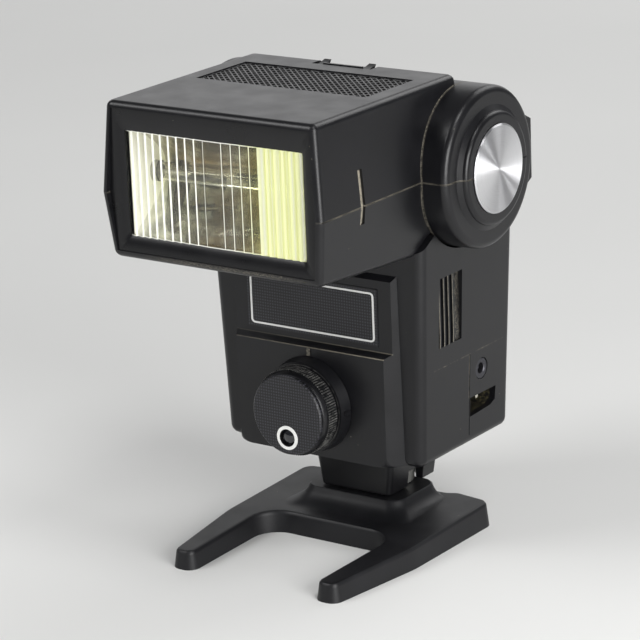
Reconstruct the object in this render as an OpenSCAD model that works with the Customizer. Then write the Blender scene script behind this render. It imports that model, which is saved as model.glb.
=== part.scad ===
// Tilting camera flash with a plug-in sensor, standing in the shoe of a small flat stand.
// Millimetres, Z up, the flash fires toward minus Y, the origin is under the shoe centre.

/* [Stand] */
// Half width of the stand at its rear
stand_half = 35.2; // [32:0.1:40]
// Reach of the leg tips in front of the shoe centre
leg_reach = 67.7; // [58:0.1:80]
// Half gap between the legs at the tips
leg_gap = 21.8; // [18:0.1:23]
// Height of the leg tips
tip_h = 5.8; // [4.5:0.1:7]
// Height of the legs beside the web
leg_h = 7.6; // [6:0.1:9]
// Front wall of the web in front of the shoe centre
web_front = 27.2; // [24:0.1:32]
// Height of the shoe rails
shoe_z = 12; // [11.5:0.1:14]
// Half width of the pedestal top
ped_half = 17.6; // [15:0.1:20]
// Radius of the tripod thread wall
tripod_r = 3.175; // [2.5:0.025:4]
// Outer radius of the tripod insert
insert_r = 5; // [4.5:0.1:6]
// Height of the tripod insert
insert_h = 5.5; // [4:0.1:6]

/* [Foot] */
// Width of the shoe foot
foot_w = 18.6; // [18:0.05:18.7]
// Length of the shoe foot
foot_l = 18; // [16:0.1:19]
// Thickness of the shoe foot
foot_t = 2; // [1.8:0.05:2.1]
// Width of the shoe throat
throat_w = 12.6; // [12:0.1:14]
// Radius of the foot stalk
stalk_r = 4.5; // [3.5:0.1:5.5]
// Radius of the lock wheel
wheel_r = 11.2; // [10:0.1:11.6]
// Height of the lock wheel
wheel_h = 4.8; // [3.5:0.1:6]
// Neck wall beside the lock wheel
neck_side = 1.5; // [1:0.1:3]
// Half width of the neck under the body
neck_top = 15; // [13:0.1:18]
// Neck wall in front of the lock wheel
neck_lip = 2; // [1.6:0.1:4]

/* [Body] */
// Underside of the body
body_low = 29.8; // [27:0.1:32]
// Gap between the head and the shoulder of the body
head_gap = 0.5; // [0.4:0.05:1]
// Drop of the body shoulder below the tilt axis, at the front wall
shoulder_drop = 21.4; // [21:0.1:22.4]
// Slope of the body shoulder, in degrees
shoulder_slope = 31; // [28:1:34]
// Body width at its underside
body_w_low = 71; // [66:0.1:74]
// Body width at its top
body_w_top = 76.6; // [72:0.1:76.8]
// Front wall at the underside, before the shoe centre
front_low = 29; // [27:0.1:31]
// Front wall at the top, before the shoe centre
front_top = 30; // [28:0.1:32]
// Rear wall at the underside, behind the shoe centre
rear_low = 19.8; // [18:0.1:22]
// Rear wall at the top, behind the shoe centre
rear_top = 21.2; // [20:0.1:26]
// Radius of the upright body edges
body_r = 3; // [2.5:0.1:5]
// Radius of the bottom body edges
body_edge = 2.6; // [1.5:0.1:3]
// Wall thickness of the shells
wall = 2; // [1.6:0.1:2.4]
// Seam between front and rear shell, before the shoe centre
seam_back = 3.2; // [2.6:0.1:5]
// Lower front panel face, before the front wall
panel_out = 5.2; // [4.4:0.1:6.5]
// Setback of the upper front panel from the lower one
panel_step = 2.6; // [1.8:0.1:3]
// Half width of the panel face
panel_half = 26.6; // [25:0.1:28]
// Ledge between the panels
ledge_z = 64.2; // [62:0.1:66]
// Rise of the sloped ledge over its depth
ledge_rise = 1.1; // [0.6:0.1:1.6]
// Top of the upper panel face
panel_top = 87.2; // [86:0.1:89]
// Name plate width
plate_w = 46.8; // [42:0.1:50]
// Name plate height
plate_h = 17.4; // [14:0.1:19]
// Name plate centre height
plate_z = 75.8; // [75:0.1:78]
// Number of vent ribs
vent_count = 4; // [3:1:5]
// Height of the vent
vent_h = 21.4; // [16:0.1:24]
// Width of the vent
vent_w = 12.4; // [12:0.1:14]
// Distance between the vent ribs
vent_pitch = 2.4; // [2:0.1:2.6]

/* [Batteries] */
// Cell radius
cell_r = 7.1; // [6.8:0.05:7.2]
// Cell length with its button
cell_l = 50; // [48:0.1:50.5]
// Gap between neighbouring cells
cell_gap = 0.4; // [0.3:0.05:0.8]
// Room for contacts and end walls beyond the cells
cell_room = 4; // [3.8:0.1:5]
// Room between the battery opening and the cradle of the head
bay_clear = 3.1; // [2:0.1:6]
// Radius of the main capacitor
capacitor_r = 9.3; // [8:0.1:9.6]
// Thickness of the circuit board
board_t = 1.6; // [1:0.1:2]

/* [Sensor] */
// Sensor axis height
sensor_z = 46.6; // [45:0.1:48]
// Radius of the sensor flange
flange_r = 14.7; // [14:0.1:16]
// Radius of the turning ring
ring_r = 13.3; // [12.8:0.1:14]
// Radius of the front cap
cap_r = 12.3; // [11.5:0.1:12.7]
// Distance of the cap face in front of the panel
sensor_out = 12.5; // [11.5:0.1:15]
// Radius of the plug that enters the body
plug_r = 9.6; // [8:0.1:10]
// Drop of the eye below the sensor axis
eye_drop = 7; // [6:0.1:7.4]
// Outer radius of the eye ring
eye_r = 3.7; // [3:0.1:4]

/* [Head] */
// Tilt axis in front of the shoe centre
pivot_front = 5.2; // [4.6:0.1:5.8]
// Head width at the parting line
head_w = 77; // [76.8:0.1:80]
// Head width at its top
head_top_w = 72.6; // [70:0.1:75]
// Head width at its underside
head_low_w = 72.8; // [70:0.1:75]
// Reach of the head in front of the tilt axis
head_reach = 74; // [70:0.1:80]
// Radius of the head edges
head_edge = 1.8; // [1:0.1:2]
// Setback of the front at top and bottom
front_draft = 1.4; // [0.5:0.1:2.5]
// Rise of the head above the tilt axis
head_rise = 27; // [26:0.1:29]
// Drop of the head below the tilt axis, at its front
head_drop = 19; // [18:0.1:19.6]
// Fall of the underside of the head toward the rear, in degrees
under_fall = 4; // [3:0.5:5]
// Frame beside the window
bezel_side = 5.3; // [4.8:0.1:7]
// Window edge above the tilt axis
win_up = 18.4; // [16:0.1:19]
// Window edge below the tilt axis
win_down = 12.6; // [11:0.1:13]
// Number of window ribs on each side of the wide middle one
rib_count = 10; // [6:1:12]
// Half width of the middle window rib
rib_mid = 3.05; // [2:0.05:4]
// Half width of the top grille
grille_half = 29.9; // [26:0.1:31]
// Depth of the reflector
reflector_deep = 22; // [18:0.1:26]
// Radius of the flash tube
tube_r = 2.8; // [2:0.1:3.2]
// Front edge of the grille, before the tilt axis
grille_front = 38; // [34:0.1:42]
// Rear edge of the grille, before the tilt axis
grille_back = 13.5; // [11:0.1:16]

/* [Hubs] */
// Hub radius
hub_r = 24; // [23:0.1:24.2]
// Hub face from the middle plane
hub_face = 46.8; // [45:0.1:50]
// Rise of the boss round the disc above the hub face
boss_rise = 2.6; // [2:0.1:4]
// Radius of the hub rim
hub_edge = 2.2; // [1.5:0.1:2.6]
// Radius of the metal disc
disc_r = 13.2; // [12:0.1:14]
// Radius of the turning dial
dial_r = 16.8; // [14:0.1:18]
// Radius of the tilt axle
axle_r = 4; // [3:0.1:5]
// Room between the yoke and the hub walls
yoke_room = 3; // [2:0.1:5]
// Half width of the yoke
yoke_half = 11; // [9:0.1:12]

/* [Fits] */
// Gap between pieces that move past each other
gap = 0.3; // [0.25:0.05:0.4]
// Radial running fit of shafts
run_fit = 0.08; // [0.05:0.01:0.1]
// Gap between the head hubs and the body cradle
cradle_gap = 0.6; // [0.5:0.05:1]

/* [Hidden] */
$fn = 64;
cell_pitch = 2 * cell_r + cell_gap;
holder_d = 2 * cell_pitch + cell_gap;
bay_w = holder_d + cell_gap;
bay_h = cell_l + cell_room;
bay_z = body_low + 4.2;
cradle_r = hub_r + cradle_gap;
pivot_z = bay_z + bay_h + bay_clear + wall + cradle_r;
pivot = [0, -pivot_front, pivot_z];
shoulder_y = pivot_front - front_top;
shoulder_mid = shoulder_drop * sin(shoulder_slope) - shoulder_y * cos(shoulder_slope);
shoulder_run = shoulder_mid
  - sqrt(pow(shoulder_mid, 2) - pow(shoulder_y, 2) - pow(shoulder_drop, 2) + pow(cradle_r, 2));
body_high = pivot_z - shoulder_drop + shoulder_run * sin(shoulder_slope) + 0.3;
screw_low = head_drop + (head_reach - 34) * tan(under_fall);
panel_low = front_low + panel_out;
panel_up = panel_low - panel_step;
neck_half = wheel_r + neck_side;
neck_front = wheel_r + neck_lip;
boss_face = hub_face + boss_rise;
yoke_r = hub_r - wall - yoke_room;
win_half = min(head_w, head_top_w, head_low_w) / 2 - bezel_side;
seam_y = -seam_back;
slot_floor = shoe_z - 1.7 - foot_t - 2 * gap;
foot_z = slot_floor + gap;
wheel_z = shoe_z + 0.35;
bay_y = rear_low - 3.2 - bay_w;
bay_x = body_w_low / 2 - 1.9;
board_x = body_w_low / 2 - 9.5;
board_y = 5 - front_low;
screw_x = body_w_low / 2 - 5;
panel_y = max(rear_top + 0.4, 21.4);
control_z = 71;
switch_x = -9;
button_x = 9;
button_r = 4.2;
switch_travel = 5;
vent_y = seam_y - 4.6 - vent_w;
ac_z = 41.7;
ac_y = 4.4;
sync_z = 52.4;
sync_y = 3.6;
sync_r = 3.4;
seam_z = 58.8;
win_z = (win_up - win_down) / 2;
win_hh = (win_up + win_down) / 2;
win_y = -head_reach + front_draft + 1.2;
plate_in = yoke_half + 2 * gap;
plate_out = plate_in + 2.5;
tube_y = reflector_deep - 6;
ring_face = panel_low + sensor_out;
stand_side = [
  [stand_half - 12.2, -web_front, 8], [leg_gap, -leg_reach, 3.4], [leg_gap + 8, -leg_reach, 3.4],
  [stand_half - 0.4, -web_front - 6, 40], [stand_half, 10.6, 4.6], [stand_half - 13.5, 12.4, 4],
  [stand_half - 17, 10.8, 3]];
stand_corners = concat(stand_side, [for (i = [len(stand_side) - 1 : -1 : 0])
  [-stand_side[i][0], stand_side[i][1], stand_side[i][2]]]);
screw_zs = [body_low + 4.4, body_high - 12.6];

module rounded_rect(x, f, b, r) {
  translate([-x + r, f]) square([2 * x - 2 * r, b - f]);
  translate([-x, f + r]) square([2 * x, b - f - 2 * r]);
  for (sx = [-1, 1]) {
    for (yy = [f + r, b - r]) translate([sx * (x - r), yy]) circle(r);
  }
}

// Outline of a rounded rectangle: half width, front, back, corner radius and height.
function ring_at(x, f, b, r, z) = [
  for (c = [[x - r, f + r, -90], [x - r, b - r, 0], [r - x, b - r, 90], [r - x, f + r, 180]])
    for (i = [0 : 8]) [c[0] + r * cos(c[2] + i * 11.25), c[1] + r * sin(c[2] + i * 11.25), z]
];

// Closed skin over a stack of such outlines, lowest first.
module loft(rings) {
  skin([for (g = rings) ring_at(g[0], g[1], g[2], g[3], g[4])], false, [[for (i = [0 : 35]) i]]);
}

// Closed skin over outlines of equally many points, with its ends in the given faces,
// and its sides in triangles where they are bent.
module skin(outlines, bent, ends) {
  n = len(outlines[0]);
  last = len(outlines) - 1;
  sides = [for (k = [0 : last - 1]) for (i = [0 : n - 1])
    let (a = k * n + i, b = (k + 1) * n + i, c = (k + 1) * n + (i + 1) % n, d = k * n + (i + 1) % n)
      each bent ? [[a, b, c], [a, c, d]] : [[a, b, c, d]]];
  polyhedron(
    [for (g = outlines) each g],
    concat(ends, [for (e = ends) [for (i = [len(e) - 1 : -1 : 0]) last * n + e[i]]], sides));
}

// Block with draft: half width, front and back at the bottom, then the same at the top.
module tapered_box(x1, f1, b1, x2, f2, b2, h, r) {
  loft([[x1, f1, b1, r, 0], [x2, f2, b2, r, h]]);
}

// Block with draft and a rounded top edge.
module rounded_block(x1, f1, b1, x2, f2, b2, h, r, edge) {
  loft(rounded_rings(x1, f1, b1, x2, f2, b2, h, r, edge));
}

function rounded_rings(x1, f1, b1, x2, f2, b2, h, r, edge) =
  concat([[x1, f1, b1, r, 0]], [for (a = [0 : 22.5 : 90])
    let (z = h - edge + edge * sin(a), k = z / h, i = edge * (1 - cos(a)))
      [x1 + (x2 - x1) * k - i, f1 + (f2 - f1) * k + i, b1 + (b2 - b1) * k - i, max(r - 0.6 * i, 0.5), z]]);

module bar_x(r, x1, x2) {
  translate([x1, 0, 0]) rotate([0, 90, 0]) cylinder(h = x2 - x1, r = r);
}

module bar_y(r, y1, y2) {
  translate([0, y1, 0]) rotate([-90, 0, 0]) cylinder(h = y2 - y1, r = r);
}

module box(x1, x2, y1, y2, z1, z2) {
  translate([x1, y1, z1]) cube([x2 - x1, y2 - y1, z2 - z1]);
}

function body_x(z) = body_w_low / 2 + (body_w_top - body_w_low) / 2 * (z - body_low) / (body_high - body_low);
function front_y(z) = -front_low - (front_top - front_low) * (z - body_low) / (body_high - body_low);
function rear_y(z) = rear_low + (rear_top - rear_low) * (z - body_low) / (body_high - body_low);

// Slice of the drafted body between two heights, set in by i1 at its bottom and i2 at its top.
module body_block(i1, i2, z1, z2) {
  translate([0, 0, z1]) tapered_box(
    body_x(z1) - i1, front_y(z1) + i1, rear_y(z1) - i1,
    body_x(z2) - i2, front_y(z2) + i2, rear_y(z2) - i2,
    z2 - z1, max(body_r - i1, 0.8));
}

// Outside of the body with its rounded bottom edges.
module body_form() {
  loft(concat([for (a = [90 : -22.5 : 0])
    let (z = body_low + body_edge * (1 - sin(a)), i = body_edge * (1 - cos(a)))
      [body_x(z) - i, front_y(z) + i, rear_y(z) - i, body_r - 0.6 * i, z]],
    [[body_x(body_high), front_y(body_high), rear_y(body_high), body_r, body_high]]));
}

// Raised panel with sloped sides and a sloped top.
module front_panel(face, z1, z2, slope) {
  root = front_low - 1;
  wide = panel_half + (panel_low - root) * 0.6;
  tip = panel_half + (panel_low - face) * 0.6;
  difference() {
    translate([0, 0, z1]) linear_extrude(z2 + 6 - z1)
      polygon([[-wide, -root], [-tip, -face], [tip, -face], [wide, -root]]);
    translate([0, -face, z2]) rotate([slope, 0, 0]) box(-60, 60, -20, 40, 0, 20);
  }
}

// Everything above the sloped shoulder of the body.
module shoulder(lift) {
  translate([0, -front_top, pivot_z - shoulder_drop]) rotate([shoulder_slope, 0, 0])
    box(-60, 60, -20, 60, lift, 60);
}

module body_hollow() {
  difference() {
    body_block(wall, wall, body_low + wall, body_high - wall);
    translate(pivot) bar_x(cradle_r + wall, -60, 60);
    shoulder(-wall);
  }
}

module ac_mouth(x1, x2) {
  along_x(x1, x2) polygon([
    [ac_y - 7, ac_z + 3], [ac_y + 7.4, ac_z + 2.9], [ac_y + 7, ac_z - 1.4], [ac_y + 4.2, ac_z - 2.5],
    [ac_y - 7, ac_z - 3]]);
}

module along_x(x1, x2) {
  translate([x1, 0, 0]) rotate([90, 0, 90]) linear_extrude(x2 - x1) children();
}

module screw_places() {
  for (z = screw_zs) translate([screw_x, 0, z]) children();
}

module body_cuts() {
  translate(pivot) bar_x(cradle_r, -60, 60);
  shoulder(0);
  body_hollow();
  translate(pivot) box(-yoke_half, yoke_half, -9, 9, -40, -10);
  box(-60, -body_w_low / 2 + 6, bay_y, bay_y + bay_w, bay_z, bay_z + bay_h);
}

module knurl(r, depth, teeth) {
  polygon([for (i = [0 : 2 * teeth - 1])
    (i % 2 == 0 ? r : r - depth) * [cos(180 * i / teeth), sin(180 * i / teeth)]]);
}

function unit(v) = v / norm(v);
function left_of(v) = [-v[1], v[0]];
function turned(v, a) = [v[0] * cos(a) - v[1] * sin(a), v[0] * sin(a) + v[1] * cos(a)];

// Arc round corner i of an outline that is set in by e.
function corner_arc(i, e) =
  let (
    n = len(stand_corners),
    here = stand_corners[i],
    before = stand_corners[(i + n - 1) % n],
    after = stand_corners[(i + 1) % n],
    d1 = unit([here[0] - before[0], here[1] - before[1]]),
    d2 = unit([after[0] - here[0], after[1] - here[1]]),
    n1 = left_of(d1),
    n2 = left_of(d2),
    place = [here[0], here[1]] + e * (n1 + n2) / (1 + n1 * n2),
    bend = sign(d1[0] * d2[1] - d1[1] * d2[0]),
    turn = acos(d1 * d2),
    r = bend > 0 ? max(here[2] - e, 0.4) : here[2] + e,
    centre = place - d1 * r * tan(turn / 2) + n1 * r * bend)
  [for (k = [0 : 6]) centre - turned(n1, bend * turn * k / 6) * r * bend];

function stand_top(y) = leg_h + (tip_h - leg_h) * (12.4 - y) / (12.4 + leg_reach);

// Flat plate with two legs, drafted walls and a rounded top edge, its ends fanned from the rear corners.
module stand_plate() {
  levels = [[0, 0, 0], [0.7, 1, -1.3], [0.82, 1, -0.75], [1.2, 1, -0.25], [1.9, 1, 0]];
  half = 7 * len(stand_side);
  rear = 28;
  far = 2 * half - 1;
  fans = [for (i = concat([for (k = [0 : rear - 2]) k], [for (k = [rear + 1 : half - 2]) k]))
    each [[rear, i, i + 1], [far - rear, far - 1 - i, far - i]]];
  skin([for (l = levels) [for (i = [0 : len(stand_corners) - 1]) for (point = corner_arc(i, l[0]))
    [point[0], point[1], l[1] * stand_top(point[1]) + l[2]]]], true,
    concat([[0, rear, half - 1, half, far - rear, far]], fans));
}

module stand_base() {
  color([0.09, 0.09, 0.1]) difference() {
    union() {
      stand_plate();
      pedestal();
    }
    box(-foot_w / 2 - gap, foot_w / 2 + gap, -foot_l / 2 - gap, 40,
      slot_floor, slot_floor + foot_t + 2 * gap);
    box(-throat_w / 2, throat_w / 2, -foot_l / 2 - gap, 40, slot_floor, 40);
    translate([0, 0, -1]) cylinder(h = insert_h + 1, r = insert_r);
  }
}

// Flared block under the shoe.
module pedestal() {
  base = leg_h - 1;
  rise = shoe_z - base;
  loft(concat([[ped_half + 8, -web_front + 2.4, 8.2, 5, base - 3]],
    [for (a = [0 : 15 : 75]) let (out = 1 - sin(a))
      [ped_half + 8 * out, -15.8 - (web_front - 18.2) * out, 7.2 + out, 5, base + rise * (1 - cos(a))]],
    [[ped_half, -15.8, 7.2, 5, shoe_z - 0.5], [ped_half - 0.5, -15.3, 6.7, 4.6, shoe_z]]));
}

module tripod_insert() {
  color([0.78, 0.62, 0.3]) difference() {
    cylinder(h = insert_h, r = insert_r);
    translate([0, 0, -1]) cylinder(h = insert_h + 2, r = tripod_r);
  }
}

module foot_plate() {
  color([0.14, 0.14, 0.15]) difference() {
    union() {
      box(-foot_w / 2, foot_w / 2, -foot_l / 2, foot_l / 2, foot_z, foot_z + foot_t);
      translate([0, 0, foot_z + foot_t - 0.5]) cylinder(h = body_low - 5 - foot_z - foot_t, r = stalk_r);
    }
    translate([0, 0, foot_z - 1]) cylinder(h = 40, r = 1.6);
  }
}

module foot_contact() {
  color([0.8, 0.66, 0.34]) translate([0, 0, foot_z - 0.15]) cylinder(h = 12, r = 1.6);
}

module lock_wheel() {
  color([0.6, 0.6, 0.62]) translate([0, 0, wheel_z]) difference() {
    union() {
      linear_extrude(wheel_h) knurl(wheel_r, 0.5, 60);
      cylinder(h = wheel_h, r = wheel_r - 0.45);
    }
    translate([0, 0, -1]) cylinder(h = wheel_h + 2, r = stalk_r + run_fit);
  }
}

module foot_neck() {
  color([0.1, 0.1, 0.11]) difference() {
    translate([0, 0, shoe_z + 0.4]) tapered_box(
      neck_half, -neck_front, neck_front, neck_top, -neck_front - 1, neck_front + 1.2,
      body_low - shoe_z - 0.4, 2);
    translate([0, 0, shoe_z]) cylinder(h = wheel_h + 0.35 + gap, r = wheel_r + 0.4);
    box(-30, 30, -2.8, 5.2, shoe_z - 1, wheel_z + wheel_h + gap);
    translate([0, 0, shoe_z]) cylinder(h = body_low - shoe_z - 5.5, r = stalk_r);
  }
}

module front_shell() {
  color([0.07, 0.07, 0.08]) union() {
    difference() {
      union() {
        body_form();
        front_panel(panel_up, body_low + 1, panel_top, 40);
        front_panel(panel_low, body_low + 0.6, ledge_z, atan2(ledge_rise, panel_step));
        box(-0.6, 0.6, -panel_low - 0.4, -panel_low + 1, ledge_z - 2.6, ledge_z - 0.3);
      }
      body_cuts();
      box(-60, 60, seam_y, 60, 0, 140);
      translate([0, 0, sensor_z]) bar_y(plug_r + gap, -60, -20);
      box(-plate_w / 2, plate_w / 2, -60, -panel_up + 0.8, plate_z - plate_h / 2, plate_z + plate_h / 2);
      difference() {
        box(body_x(plate_z) - 1.1, 60, vent_y, vent_y + vent_w, plate_z - vent_h / 2, plate_z + vent_h / 2);
        for (i = [0 : vent_count - 1]) translate([0, vent_y + 1 + i * vent_pitch, plate_z])
          box(30, body_x(plate_z) - 0.3, -0.45, 0.45, -vent_h, vent_h);
      }
    }
    for (x = [-board_x, board_x - 4]) {
      for (z = [body_low + 11, body_high - 19.2]) translate([x, 0, z]) bar_y(2.4, front_y(z) + 1, board_y);
    }
    difference() {
      screw_places() bar_y(3.2, -front_low + 1.5, seam_y);
      screw_places() bar_y(1.35, -20, 60);
    }
  }
}

module rear_shell() {
  color([0.075, 0.075, 0.085]) difference() {
    union() {
      difference() {
        body_form();
        body_cuts();
        box(-60, 60, -60, seam_y, 0, 140);
        difference() {
          box(-60, 60, seam_y - 1, seam_y + 0.35, body_low + body_edge + 0.5, seam_z);
          body_block(0.5, 0.5, body_low + 0.5, body_high + 9);
        }
      }
      screw_places() bar_y(3.2, seam_y, rear_low - 1);
      box(-23, 23, rear_low - 1, panel_y, control_z - 11, control_z + 13);
      for (x = [-28, -12]) box(x, x + 3, seam_y, rear_low - 2, body_low + wall - 0.3, bay_z + 0.2);
    }
    screw_places() bar_y(1.35, -20, 60);
    for (z = screw_zs) translate([screw_x, 0, z]) bar_y(2.7, rear_y(z) - 3, 60);
    box(switch_x - switch_travel / 2 - 3.2 - gap, switch_x + switch_travel / 2 + 3.2 + gap, 0, 60,
      control_z - 2 - gap, control_z + 2 + gap);
    translate([button_x, 0, control_z]) bar_y(button_r + gap, 0, 60);
    box(-22.8, 22.8, 0, rear_y(control_z - 11) - wall - 0.15, control_z - 11.2, control_z + 13.2);
    translate([0, sync_y, sync_z]) bar_x(sync_r, 20, 60);
    ac_mouth(30, 60);
  }
}

module name_plate() {
  color([0.05, 0.05, 0.055])
    box(-plate_w / 2, plate_w / 2, -panel_up - 0.3, -panel_up + 0.8,
      plate_z - plate_h / 2, plate_z + plate_h / 2);
}

module plate_frame() {
  color([0.86, 0.86, 0.86]) translate([0, -panel_up - 0.3, plate_z]) rotate([90, 0, 0]) linear_extrude(0.15)
    difference() {
      rounded_rect(plate_w / 2 - 1.1, -plate_h / 2 + 1.1, plate_h / 2 - 1.1, 1.2);
      rounded_rect(plate_w / 2 - 1.9, -plate_h / 2 + 1.9, plate_h / 2 - 1.9, 0.8);
    }
}

module battery_door() {
  lo = bay_z + gap;
  hi = bay_z + bay_h - gap;
  color([0.08, 0.08, 0.09]) union() {
    difference() {
      body_block(0, 0, lo, hi);
      body_block(1.6, 1.6, lo - 1, hi + 1);
      box(-60, 60, -60, bay_y + gap, 0, 140);
      box(-60, 60, bay_y + bay_w - gap, 60, 0, 140);
      box(-20, 60, -60, 60, 0, 140);
    }
    for (i = [0 : 4]) translate([-body_x(hi - 16 + i * 2.4), bay_y + bay_w / 2, hi - 16 + i * 2.4])
      box(-0.6, 0.8, -8, 8, -0.5, 0.5);
  }
}

module cell_places() {
  for (i = [-1, 1]) {
    for (j = [-1, 1]) translate([holder_d / 2 - bay_x + i * cell_pitch / 2, bay_y + bay_w / 2 + j * cell_pitch / 2, 0]) children();
  }
}

module battery_holder() {
  lo = bay_z + 0.2;
  hi = bay_z + bay_h - 0.4;
  color([0.16, 0.16, 0.17]) difference() {
    box(-bay_x, -bay_x + holder_d, bay_y + cell_gap / 2, bay_y + bay_w - cell_gap / 2, lo, hi);
    cell_places() translate([0, 0, lo + 1.2]) cylinder(h = hi - lo - 2.4, r = cell_r + cell_gap / 4);
    box(-bay_x - 1, -bay_x + cell_r + cell_gap, bay_y - 1, bay_y + bay_w + 1, lo + 1.2, hi - 1.2);
    box(holder_d - bay_x - cell_r - cell_gap, holder_d - bay_x + 1, bay_y - 1, bay_y + bay_w + 1,
      lo + 1.2, hi - 1.2);
  }
}

module aa_cells() {
  lo = bay_z + 1.9;
  color([0.35, 0.4, 0.42]) cell_places() {
    translate([0, 0, lo]) cylinder(h = cell_l - 1.2, r = cell_r);
    translate([0, 0, lo + cell_l - 1.3]) cylinder(h = 1.3, r = cell_r * 0.38);
  }
}

module battery_contacts() {
  lo = bay_z + 1.4;
  hi = bay_z + bay_h - 1.6;
  color([0.8, 0.8, 0.78]) cell_places() {
    translate([0, 0, lo]) cylinder(h = 0.45, r = cell_r * 0.7);
    translate([0, 0, hi - 0.45]) cylinder(h = 0.45, r = cell_r * 0.7);
  }
}

module main_capacitor() {
  color([0.12, 0.2, 0.42]) translate([
    holder_d - bay_x + capacitor_r + 3.7, bay_y + bay_w - capacitor_r - 1.9, body_low + wall]) union() {
    cylinder(h = bay_h - 6, r = capacitor_r);
    translate([0, 0, bay_h - 6.1]) cylinder(h = 1, r = capacitor_r - 1.1);
  }
}

module circuit_board() {
  color([0.1, 0.32, 0.18]) difference() {
    box(-board_x - 5, board_x, board_y, board_y + board_t, body_low + 7, body_high - 12.2);
    for (x = [-12, 0, 12]) translate([x, 0, body_high - 16.2]) bar_y(1.5, board_y - 5, board_y + 9);
  }
}

module transformer() {
  color([0.75, 0.62, 0.2]) union() {
    translate([board_x - 6, board_y + board_t, body_low + 37.2]) {
      box(-7, 7, 0, 9, -7, 7);
      bar_y(5, 8.8, 11);
    }
  }
}

module ac_socket() {
  color([0.04, 0.04, 0.045]) difference() {
    intersection() {
      box(24.5, 45, ac_y - 8.2, ac_y + 8.6, ac_z - 3.9, ac_z + 3.9);
      body_block(wall, wall, body_low + wall, body_high - wall);
    }
    ac_mouth(26, 60);
  }
}

module ac_pins() {
  color([0.83, 0.68, 0.32]) for (y = [-5.6, -0.2]) translate([0, ac_y + y, ac_z + 1.5]) bar_x(0.75, 26, 34);
}

module sync_socket() {
  color([0.55, 0.55, 0.56]) translate([0, sync_y, sync_z]) union() {
    difference() {
      bar_x(sync_r, 27, body_x(sync_z) - 0.15);
      bar_x(2.3, 28.5, 60);
    }
    bar_x(0.7, 28, 34.5);
  }
}

module power_switch() {
  inner = rear_y(control_z - 11) - wall;
  color([0.5, 0.1, 0.08]) translate([switch_x - switch_travel / 2, 0, control_z]) union() {
    box(-3.2, 3.2, inner - 1, panel_y + 1.6, -2, 2);
    box(-4.8, 4.8, inner - 1.6, inner - gap, -3.4, 3.4);
    for (x = [-1.8, 0, 1.8]) box(x - 0.35, x + 0.35, panel_y + 1.5, panel_y + 2, -2, 2);
  }
}

module ready_button() {
  inner = rear_y(control_z - 11) - wall;
  color([0.85, 0.45, 0.12]) translate([button_x, 0, control_z]) union() {
    bar_y(button_r, inner - 1, panel_y + 1.2);
    bar_y(button_r + 1.2, inner - 1.7, inner - gap);
    translate([0, panel_y + 1.1, 0]) rotate([-90, 0, 0])
      cylinder(h = 0.5, r1 = button_r - 0.1, r2 = button_r - 0.9);
  }
}

module body_screws() {
  color([0.45, 0.45, 0.46]) for (z = screw_zs) translate([screw_x, 0, z]) {
    bar_y(1.35, seam_y - 8, rear_y(z) - 2.9);
    difference() {
      bar_y(2.5, rear_y(z) - 3, rear_y(z) - 1.3);
      box(-0.35, 0.35, rear_y(z) - 2, rear_y(z), -1.6, 1.6);
      box(-1.6, 1.6, rear_y(z) - 2, rear_y(z), -0.35, 0.35);
    }
  }
}

module tilt_yoke() {
  base = cradle_r + wall;
  color([0.09, 0.09, 0.1]) translate(pivot) difference() {
    union() {
      bar_x(yoke_r, -yoke_half, yoke_half);
      box(-yoke_half, yoke_half, -9, 9, -base - 2, 0);
      box(-yoke_half - 4, yoke_half + 4, -12, 12, -base - 2.5, -base);
    }
    bar_x(axle_r + run_fit, -60, 60);
    translate([0, 0, -base - 4]) cylinder(h = base + 4, r = 3);
  }
}

module sensor_base() {
  color([0.06, 0.06, 0.065]) translate([0, 0, sensor_z]) union() {
    translate([0, -panel_low - gap, 0]) rotate([90, 0, 0])
      cylinder(h = 4.1, r1 = flange_r, r2 = flange_r - 0.7);
    bar_y(plug_r, -panel_low - gap - 1, -front_low + 2.4);
    bar_y(10, -ring_face + 1.2, -panel_low - 4);
    box(flange_r - 1.4, flange_r + 0.3, -panel_low - 3.2, -panel_low - 1.2, -0.6, 0.6);
  }
}

module mode_ring() {
  back = panel_low + gap + 4.1 + gap;
  front = ring_face - 1.5;
  color([0.05, 0.05, 0.055]) translate([0, 0, sensor_z]) difference() {
    union() {
      translate([0, -back - 0.7, 0]) rotate([90, 0, 0])
        linear_extrude(front - back - 2.1) knurl(ring_r, 0.45, 60);
      bar_y(ring_r - 0.4, -front + 1.2, -back);
      translate([0, -front + 1.25, 0]) rotate([90, 0, 0])
        cylinder(h = 1.25, r1 = ring_r - 0.4, r2 = cap_r + 0.1);
    }
    bar_y(10 + gap, -60, -20);
  }
}

module sensor_cap() {
  color([0.06, 0.06, 0.07]) translate([0, 0, sensor_z]) difference() {
    union() {
      bar_y(cap_r, -ring_face + 0.4, -ring_face + 1.2);
      translate([0, -ring_face + 0.4, 0]) rotate([90, 0, 0]) cylinder(h = 0.4, r1 = cap_r, r2 = cap_r - 0.4);
    }
    translate([0, 0, -eye_drop]) bar_y(eye_r, -60, -20);
  }
}

module eye_ring() {
  color([0.92, 0.92, 0.92]) translate([0, 0, sensor_z - eye_drop]) difference() {
    bar_y(eye_r, -ring_face - 0.2, -ring_face + 1.2);
    bar_y(eye_r - 1.1, -60, -20);
  }
}

module sensor_lens() {
  color([0.1, 0.12, 0.16]) translate([0, 0, sensor_z - eye_drop]) intersection() {
    bar_y(eye_r - 1.1, -ring_face - 1, -ring_face + 1.2);
    translate([0, -ring_face + 4.4, 0]) sphere(r = 4.4);
  }
}

module sensor_pins() {
  color([0.83, 0.68, 0.32]) for (x = [-4, 0, 4]) translate([x, 0, sensor_z])
    bar_y(0.7, -front_low + 2.4, -front_low + 4);
}

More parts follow.
